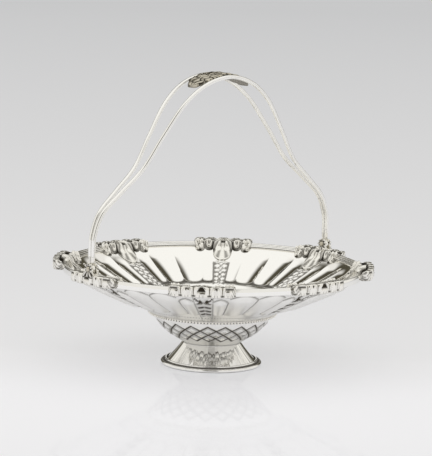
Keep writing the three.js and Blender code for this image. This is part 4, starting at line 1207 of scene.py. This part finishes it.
# %% Leafed lugs
BORE_RADIUS = 1.8
CHEEK_INNER, CHEEK_OUTER = 2.1, 3.9  # how far from the lug's middle a cheek's two faces lie
CHEEK_RADIUS = 4.8
LEAF_SPREAD = 10.0  # how far from the pin the leaves reach below it
VEINS, LOBE_DEPTH = 9, 0.28
COLLAR_RADIUS = 2.9  # the plain collar round the bore, where the veins begin
COLLAR_LINE = (2.8, 0.5)  # radius and width of the dark line round it
SEAT_LEVELS = (0, 1.5, 2.0, 2.0)  # heights of the pad's outlines above its seat
SEAT_INSETS = (0, 0, 0.5, 3.0)  # how far in each outline lies
SEAT_HALF_LENGTH = 7.0
BUDS = (  # each bud's place out from the lug's middle, aside and above the seat, and its half sizes
    ((0, 8.2, 1.9), (4.2, 2.6, 1.9)),
    ((-4.4, 4.6, 2.4), (2.2, 3.4, 2.3)),
)
seat_drop = pivot[2] - box_mm("hinge_lug_right")[0][2]


def about_pin(side, out, across, up):
    """Points from distances along X out from the lug's middle, along Y, and above the pin's axis."""
    out, across, up = np.broadcast_arrays(out, across, up)
    return np.stack([side * (pivot_x + out), across, pivot[2] + up], -1)


def cheek_skin(side, out_sign):
    """One cheek: a plate round its bore, flat inside, with veins that swell towards its lobed edge."""
    turn = full_turn(120)[None, :]
    down = np.clip(-np.sin(turn), 0.001, 1)
    spread = CHEEK_RADIUS + (LEAF_SPREAD - CHEEK_RADIUS) * blend_smooth(0.4, 0.75, down)
    vein = 0.5 + 0.5 * np.cos(VEINS * turn)
    edge = np.minimum(spread * (1 + LOBE_DEPTH * (vein - 0.5)), seat_drop / down)
    # The section's points: the flat inner face, its edge, and the veined face back to the bore.
    share = np.concatenate([[0, 1], [1], np.linspace(0.97, 0.03, 11), [0]])[:, None]
    face = np.concatenate([[0, 0], [0.35], np.ones(12)])[:, None]
    far = BORE_RADIUS + (edge - BORE_RADIUS) * share
    veined = blend_smooth(COLLAR_RADIUS, 4.2, far)
    swell = veined * hump(0.9 * (2 * share - 1.1)) * (0.3 + 0.9 * vein)
    out = CHEEK_INNER + (CHEEK_OUTER - CHEEK_INNER + swell) * face
    furrows = (1 - blend_smooth(0.1, 0.8, vein)) * blend_smooth(COLLAR_RADIUS, 3.6, far)
    tint = np.maximum(0.3 + 0.7 * furrows, line_mark(far - COLLAR_LINE[0], COLLAR_LINE[1])) * face
    return ring_skin(about_pin(side, out_sign * out, far * np.cos(turn), far * np.sin(turn)), tint)


def bud_skin(side, middle, size):
    """A ribbed bud: a ball stretched to its size, its radius swelling with the angle about Y."""
    polar = np.radians(np.linspace(8, 172, 14))[:, None]
    turn = full_turn(40)[None, :]
    rib = np.abs(np.cos(2.5 * turn + 1.5 * np.cos(polar)))
    reach = np.sin(polar) * (0.8 + 0.2 * rib)
    out = middle[0] + size[0] * reach * np.cos(turn)
    up = middle[2] + size[2] * reach * np.sin(turn)
    across = middle[1] + size[1] * np.cos(polar) + 0 * turn
    return tube_skin(about_pin(side, out, across, up), 0.8 * (1 - blend_smooth(0.1, 0.6, rib)))


def seat_skin(side):
    """The pad that joins the cheeks: an oblong with its top edge taken off. Its outline is a
    curve of the eighth power, a rectangle with rounded corners."""
    turn = full_turn(64)[None, :]
    level = np.array(SEAT_LEVELS)[:, None] - seat_drop
    inset = np.array(SEAT_INSETS)[:, None]
    round_off = (np.cos(turn) ** 8 + np.sin(turn) ** 8) ** (-1 / 8)
    out = (CHEEK_OUTER - inset) * round_off * np.cos(turn)
    across = (SEAT_HALF_LENGTH - inset) * round_off * np.sin(turn)
    return tube_skin(about_pin(side, out, across, level))


for side, label in ((-1, "left"), (1, "right")):
    skins = [cheek_skin(side, sign) for sign in (-1, 1)] + [seat_skin(side)]
    for sign in (-1, 1):
        for (out, aside, up), size in BUDS:
            skins.append(bud_skin(side, (out, sign * aside, up - seat_drop), size))
    name, nodes = f"leafed_lug_{label}", [f"hinge_lug_{label}"]
    make_piece(name, skins, cast_silver, "basket", nodes)


# %% The handle's ends
KNUCKLE_LEVELS = (2.2, 4.4, 5.8, 7.2, SOCKET_TOP)  # heights above the pin at which these hold:
KNUCKLE_WIDE = (2.0, 2.5, 3.6, 4.1, 4.15)  # half the width across both wires
KNUCKLE_THICK = (1.6, 1.65, 1.85, 2.0, 2.0)  # half the thickness
KNUCKLE_PINCH = (0, 0.1, 0.22, 0.26, 0.26)  # the furrow between the wires, as a share of that
PINCH_WIDTH = 0.35
EYE_RADIUS = 4.0
EYE_HALF = 1.8
EYE_BEVEL = 0.5


def knuckle_skin(side):
    """The casting under the wires: their double outline, drawn in to a neck above the eye. Width,
    thickness and furrow are read off a few levels, and each section is an oval."""
    level = np.linspace(KNUCKLE_LEVELS[0], SOCKET_TOP, 16)[:, None]
    wide = np.interp(level, KNUCKLE_LEVELS, KNUCKLE_WIDE)
    thick = np.interp(level, KNUCKLE_LEVELS, KNUCKLE_THICK)
    pinch = np.interp(level, KNUCKLE_LEVELS, KNUCKLE_PINCH)
    turn = full_turn(60)[None, :]
    furrow = line_mark(np.cos(turn), PINCH_WIDTH)
    out = thick * np.sin(turn) * (1 - pinch * furrow)
    across = wide * np.cos(turn)
    return tube_skin(about_pin(side, out, across, level + 0 * turn), 2 * furrow * pinch)


def eye_skin(side):
    """The eye: a thick ring about the pin with bevelled edges, six corners turned about X."""
    turn = full_turn(64)[None, :]
    corners = np.array([
        (BORE_RADIUS, EYE_HALF), (BORE_RADIUS, -EYE_HALF), (EYE_RADIUS - EYE_BEVEL, -EYE_HALF),
        (EYE_RADIUS, EYE_BEVEL - EYE_HALF), (EYE_RADIUS, EYE_HALF - EYE_BEVEL),
        (EYE_RADIUS - EYE_BEVEL, EYE_HALF),
    ])
    far, out = corners[:, :1], corners[:, 1:]
    return ring_skin(about_pin(side, out, far * np.cos(turn), far * np.sin(turn)))


for side, label in ((-1, "left"), (1, "right")):
    skins = [knuckle_skin(side), eye_skin(side)]
    name, nodes = f"handle_knuckle_{label}", [f"handle_end_{label}"]
    make_piece(name, skins, cast_silver, "handle", nodes)
    pin = frame["nodes"][f"hinge_pin_{label}"]
    pin.data.materials.clear()
    pin.data.materials.append(darkened_silver)

# %% [markdown]
# The studio: a camera, a sheet of paper and a room. The camera's angles come first, because the
# floor's tones and the room's gaps are laid out from them. They were found by fitting a camera to
# the photograph, to the ellipses of the foot, the bowl and the border and to both wires. They could
# be read back from the camera object later on, but written down as numbers they keep the floor and
# the room where they are, wherever a camera is moved.

# %% Camera angles
CAMERA_AZIMUTH = -41.2
CAMERA_ELEVATION = 9.02
CAMERA_ROLL = 1.51
CAMERA_DISTANCE = 2.0
FOCAL_PX = 2072.6  # the focal length in the photograph's pixels
IMAGE_WIDTH, IMAGE_HEIGHT = 432, 456
AIM = np.array([0, 0, 0.1])  # the point that the camera turns about
AIM_PX = (213.58, 261.08)  # where that point shows in the photograph
SENSOR_MM = 36.0

azimuth, elevation, roll = np.radians([CAMERA_AZIMUTH, CAMERA_ELEVATION, CAMERA_ROLL])
back = np.array([
    np.sin(azimuth) * np.cos(elevation), -np.cos(azimuth) * np.cos(elevation), np.sin(elevation)
])
print("the camera looks from the direction", back.round(3))

# %% [markdown]
# The floor is a sheet of white paper. It is brightest in front of the basket and gets darker
# towards the back, as the lamps fall off. Lamps that fall off in the same way would change the
# silver too, so the paper itself carries the tones: they follow the distance from the camera's
# place along its line of sight, worked out from the floor's own coordinates. At so flat an angle
# paper has a faint sheen, in which the basket is mirrored. A lift makes up for the light that the
# room alone doesn't give, and the rest is left to the light, which keeps the basket's shadow.

# %% The paper floor
FLOOR_RADIUS, FLOOR_CORNERS = 20.0, 64
PAPER_IN_FRONT, PAPER_NEAR, PAPER_FAR = "#E7E7EA", "#DFDFE1", "#BCBDC0"
FRONT_DEPTHS = (1.82, 2.06)  # metres from the camera between which the tone in front gives way
FAR_DEPTHS = (2.0, 11.4)  # metres from the camera between which the near tone becomes the far one
FALL_POWER = 0.6
DIMMED = 0.42  # how much darker than its tone the paper is to the room's light
LIFT = 0.575  # how much of its tone the paper shows by itself, to the eye and in the silver
SHEEN_SHARE = 0.1  # how much of the paper is sheen and not paper
SHEEN_ROUGHNESS = 0.035
DOT = {"operation": "DOT_PRODUCT"}
SMOOTH = {"interpolation_type": "SMOOTHSTEP"}

floor_material, tree, output = new_material("paper_sweep")
place = add_node(tree, "ShaderNodeTexCoord").outputs["Object"]
away = (-np.sin(azimuth), np.cos(azimuth), 0)
behind = add_node(tree, "ShaderNodeVectorMath", DOT, _0=place, _1=away).outputs["Value"]
middle_depth = CAMERA_DISTANCE * np.cos(elevation)
depth = add_node(tree, "ShaderNodeMath", {"operation": "ADD"}, _0=behind, _1=middle_depth).outputs[0]
tenfolds = add_node(tree, "ShaderNodeMath", {"operation": "LOGARITHM"}, _0=depth, _1=10.0).outputs[0]
first, last = np.log10(FAR_DEPTHS)
ramp = add_node(tree, "ShaderNodeMapRange", Value=tenfolds, From_Min=first, From_Max=last).outputs[0]
ramp = add_node(tree, "ShaderNodeMath", {"operation": "POWER"}, _0=ramp, _1=FALL_POWER).outputs[0]
paper = add_node(
    tree, "ShaderNodeMix", COLOURS, _0=ramp, _6=linear(PAPER_NEAR), _7=linear(PAPER_FAR)
).outputs[2]
first, last = FRONT_DEPTHS
beyond = add_node(
    tree, "ShaderNodeMapRange", SMOOTH, Value=depth, From_Min=first, From_Max=last
).outputs[0]
paper = add_node(
    tree, "ShaderNodeMix", COLOURS, _0=beyond, _6=linear(PAPER_IN_FRONT), _7=paper
).outputs[2]
dimmed = add_node(
    tree, "ShaderNodeMix", COLOURS, _0=DIMMED, _6=paper, _7=linear("#000000")
).outputs[2]
sheet = add_node(tree, "ShaderNodeBsdfDiffuse", Color=dimmed).outputs[0]
sheen = add_node(
    tree, "ShaderNodeBsdfAnisotropic", Color=linear("#FFFFFF"), Roughness=SHEEN_ROUGHNESS
).outputs[0]
lit = add_node(tree, "ShaderNodeMixShader", _0=SHEEN_SHARE, _1=sheet, _2=sheen).outputs[0]
rays = add_node(tree, "ShaderNodeLightPath").outputs
seen = add_node(
    tree, "ShaderNodeMath", {"operation": "MAXIMUM"}, _0=rays["Is Camera Ray"], _1=rays["Is Glossy Ray"]
).outputs[0]
lift = add_node(tree, "ShaderNodeMath", {"operation": "MULTIPLY"}, _0=seen, _1=LIFT).outputs[0]
glow = add_node(tree, "ShaderNodeEmission", Color=paper, Strength=lift).outputs[0]
both = add_node(tree, "ShaderNodeAddShader", _0=lit, _1=glow).outputs[0]
tree.links.new(both, output.inputs["Surface"])

floor_turn = full_turn(FLOOR_CORNERS)
floor_points = FLOOR_RADIUS * np.stack([np.cos(floor_turn), np.sin(floor_turn), 0 * floor_turn], -1)
floor_mesh = bpy.data.meshes.new("paper_floor")
floor_mesh.from_pydata(floor_points, [], [list(range(FLOOR_CORNERS))])
floor_mesh.materials.append(floor_material)
floor = bpy.data.objects.new("paper_floor", floor_mesh)
bpy.context.scene.collection.objects.link(floor)
print("paper floor:", 2 * FLOOR_RADIUS, "m across")

# %% [markdown]
# The room. Silver shows what is round it, so the room matters as much as the metal. There are lamps
# behind cloth overhead, pale walls at the sides and the end of the paper sweep behind. Between
# them the unlit room shows in gaps: one round the camera, and one on each side of the sweep that
# gets narrower with height. The gaps draw the dark lines along the flutes. Panels and area lamps
# could stand there, but each would have to be kept out of every view, so the room is a background
# whose colour follows the direction alone.

# %% The room
ROOM_WHITE = "#FBFAF6"  # the cloth of the lamps overhead
ROOM_SIDE = "#ECEAE5"  # pale walls to the left and right, and the sweep
ROOM_DARK = "#4E4A3D"  # the unlit room, seen through the gaps
BACKGROUND_SEEN = "#D4D4D6"  # what the picture shows above the floor
ROOM_STRENGTH = 1.0
# Each pair is a soft edge: the sines of the angles at which it begins and ends.
LAMP_EDGE = (0.64, 0.8)  # how high above the horizon the lamps' cloth begins
HALF_EDGE = (-0.1, 0.1)  # where the half of the room behind the basket becomes the camera's half
FRONT_GAP = (0.2, 0.34)  # how far aside the gap round the camera ends
PAPER_SIDE = (0.12, 0.18)  # how far aside the sweep ends and the gap beside it begins
PAPER_TOP = (0.2, 0.34)  # how high the sweep reaches
BACK_GAP = (0.64, 0.86)  # how far aside the gap behind ends, at the horizon
GAP_LEAN = 0.55  # how much narrower that gap gets with height

world = bpy.data.worlds.new("studio_room")
bpy.context.scene.world = world
world.use_nodes = True
tree = world.node_tree
tree.nodes.clear()
direction = add_node(tree, "ShaderNodeTexCoord").outputs["Generated"]
axes = {"up": (0, 0, 1), "right": (np.cos(azimuth), np.sin(azimuth), 0), "camera": tuple(back)}
along = {
    name: add_node(tree, "ShaderNodeVectorMath", DOT, _0=direction, _1=axis).outputs["Value"]
    for name, axis in axes.items()
}
aside = add_node(tree, "ShaderNodeMath", {"operation": "ABSOLUTE"}, _0=along["right"]).outputs[0]
leaning = add_node(
    tree, "ShaderNodeMath", {"operation": "MULTIPLY_ADD"}, _0=along["up"], _1=GAP_LEAN, _2=aside
).outputs[0]
# Each step goes from 0 to 1 where a value crosses a soft edge.
edges = {
    "lamps": (along["up"], LAMP_EDGE), "camera's half": (along["camera"], HALF_EDGE),
    "front wall": (aside, FRONT_GAP), "back wall": (leaning, BACK_GAP),
    "beside paper": (aside, PAPER_SIDE), "above paper": (along["up"], PAPER_TOP),
}
step = {
    name: add_node(
        tree, "ShaderNodeMapRange", SMOOTH, Value=value, From_Min=first, From_Max=last
    ).outputs[0]
    for name, (value, (first, last)) in edges.items()
}
off_paper = add_node(
    tree, "ShaderNodeMath", {"operation": "MAXIMUM"}, _0=step["beside paper"], _1=step["above paper"]
).outputs[0]
sweep = add_node(tree, "ShaderNodeMath", {"operation": "SUBTRACT"}, _0=1.0, _1=off_paper).outputs[0]
behind = add_node(
    tree, "ShaderNodeMath", {"operation": "MAXIMUM"}, _0=step["back wall"], _1=sweep
).outputs[0]
wall = add_node(
    tree, "ShaderNodeMix", _0=step["camera's half"], _2=behind, _3=step["front wall"]
).outputs[0]
room = add_node(
    tree, "ShaderNodeMix", COLOURS, _0=wall, _6=linear(ROOM_DARK), _7=linear(ROOM_SIDE)
).outputs[2]
room = add_node(
    tree, "ShaderNodeMix", COLOURS, _0=step["lamps"], _6=room, _7=linear(ROOM_WHITE)
).outputs[2]
eye = add_node(tree, "ShaderNodeLightPath").outputs["Is Camera Ray"]
seen = add_node(
    tree, "ShaderNodeMix", COLOURS, _0=eye, _6=room, _7=linear(BACKGROUND_SEEN)
).outputs[2]
background = add_node(tree, "ShaderNodeBackground", Color=seen, Strength=ROOM_STRENGTH)
output = tree.nodes.new("ShaderNodeOutputWorld")
tree.links.new(background.outputs[0], output.inputs["Surface"])
print("room:", len(tree.nodes), "nodes")

# %% [markdown]
# The camera itself. A Track To constraint would turn it to the aim, but the aim doesn't show in the
# middle of the photograph, and the picture is rolled a little. So its three axes are worked out:
# the direction of the frame's middle follows from where the aim shows in it, and the roll turns the
# other two. They are the columns of its matrix.

# %% The camera
right = np.array([np.cos(azimuth), np.sin(azimuth), 0])
up = np.cross(right, -back)
from_aim = np.array([IMAGE_WIDTH / 2 - AIM_PX[0], IMAGE_HEIGHT / 2 - AIM_PX[1]])
turned_x = from_aim[0] * np.cos(roll) + from_aim[1] * np.sin(roll)
turned_y = from_aim[0] * np.sin(roll) - from_aim[1] * np.cos(roll)
forward = -back + turned_x / FOCAL_PX * right + turned_y / FOCAL_PX * up
z_axis = -forward / np.linalg.norm(forward)
x_axis = np.cos(roll) * right + np.sin(roll) * up
x_axis -= z_axis * (x_axis @ z_axis)
x_axis /= np.linalg.norm(x_axis)
y_axis = np.cross(z_axis, x_axis)
camera_place = AIM + CAMERA_DISTANCE * back
camera_data = bpy.data.cameras.new("camera")
camera_data.sensor_fit = "VERTICAL"
camera_data.sensor_height = SENSOR_MM
camera_data.lens = FOCAL_PX * SENSOR_MM / IMAGE_HEIGHT
camera = bpy.data.objects.new("camera", camera_data)
bpy.context.scene.collection.objects.link(camera)
columns = np.stack([x_axis, y_axis, z_axis, camera_place], 1)
camera.matrix_world = Matrix([*columns.tolist(), (0, 0, 0, 1)])
bpy.context.scene.camera = camera
bpy.context.scene.view_settings.view_transform = "Standard"
print("camera at", camera_place.round(3), "lens", round(camera_data.lens, 1))
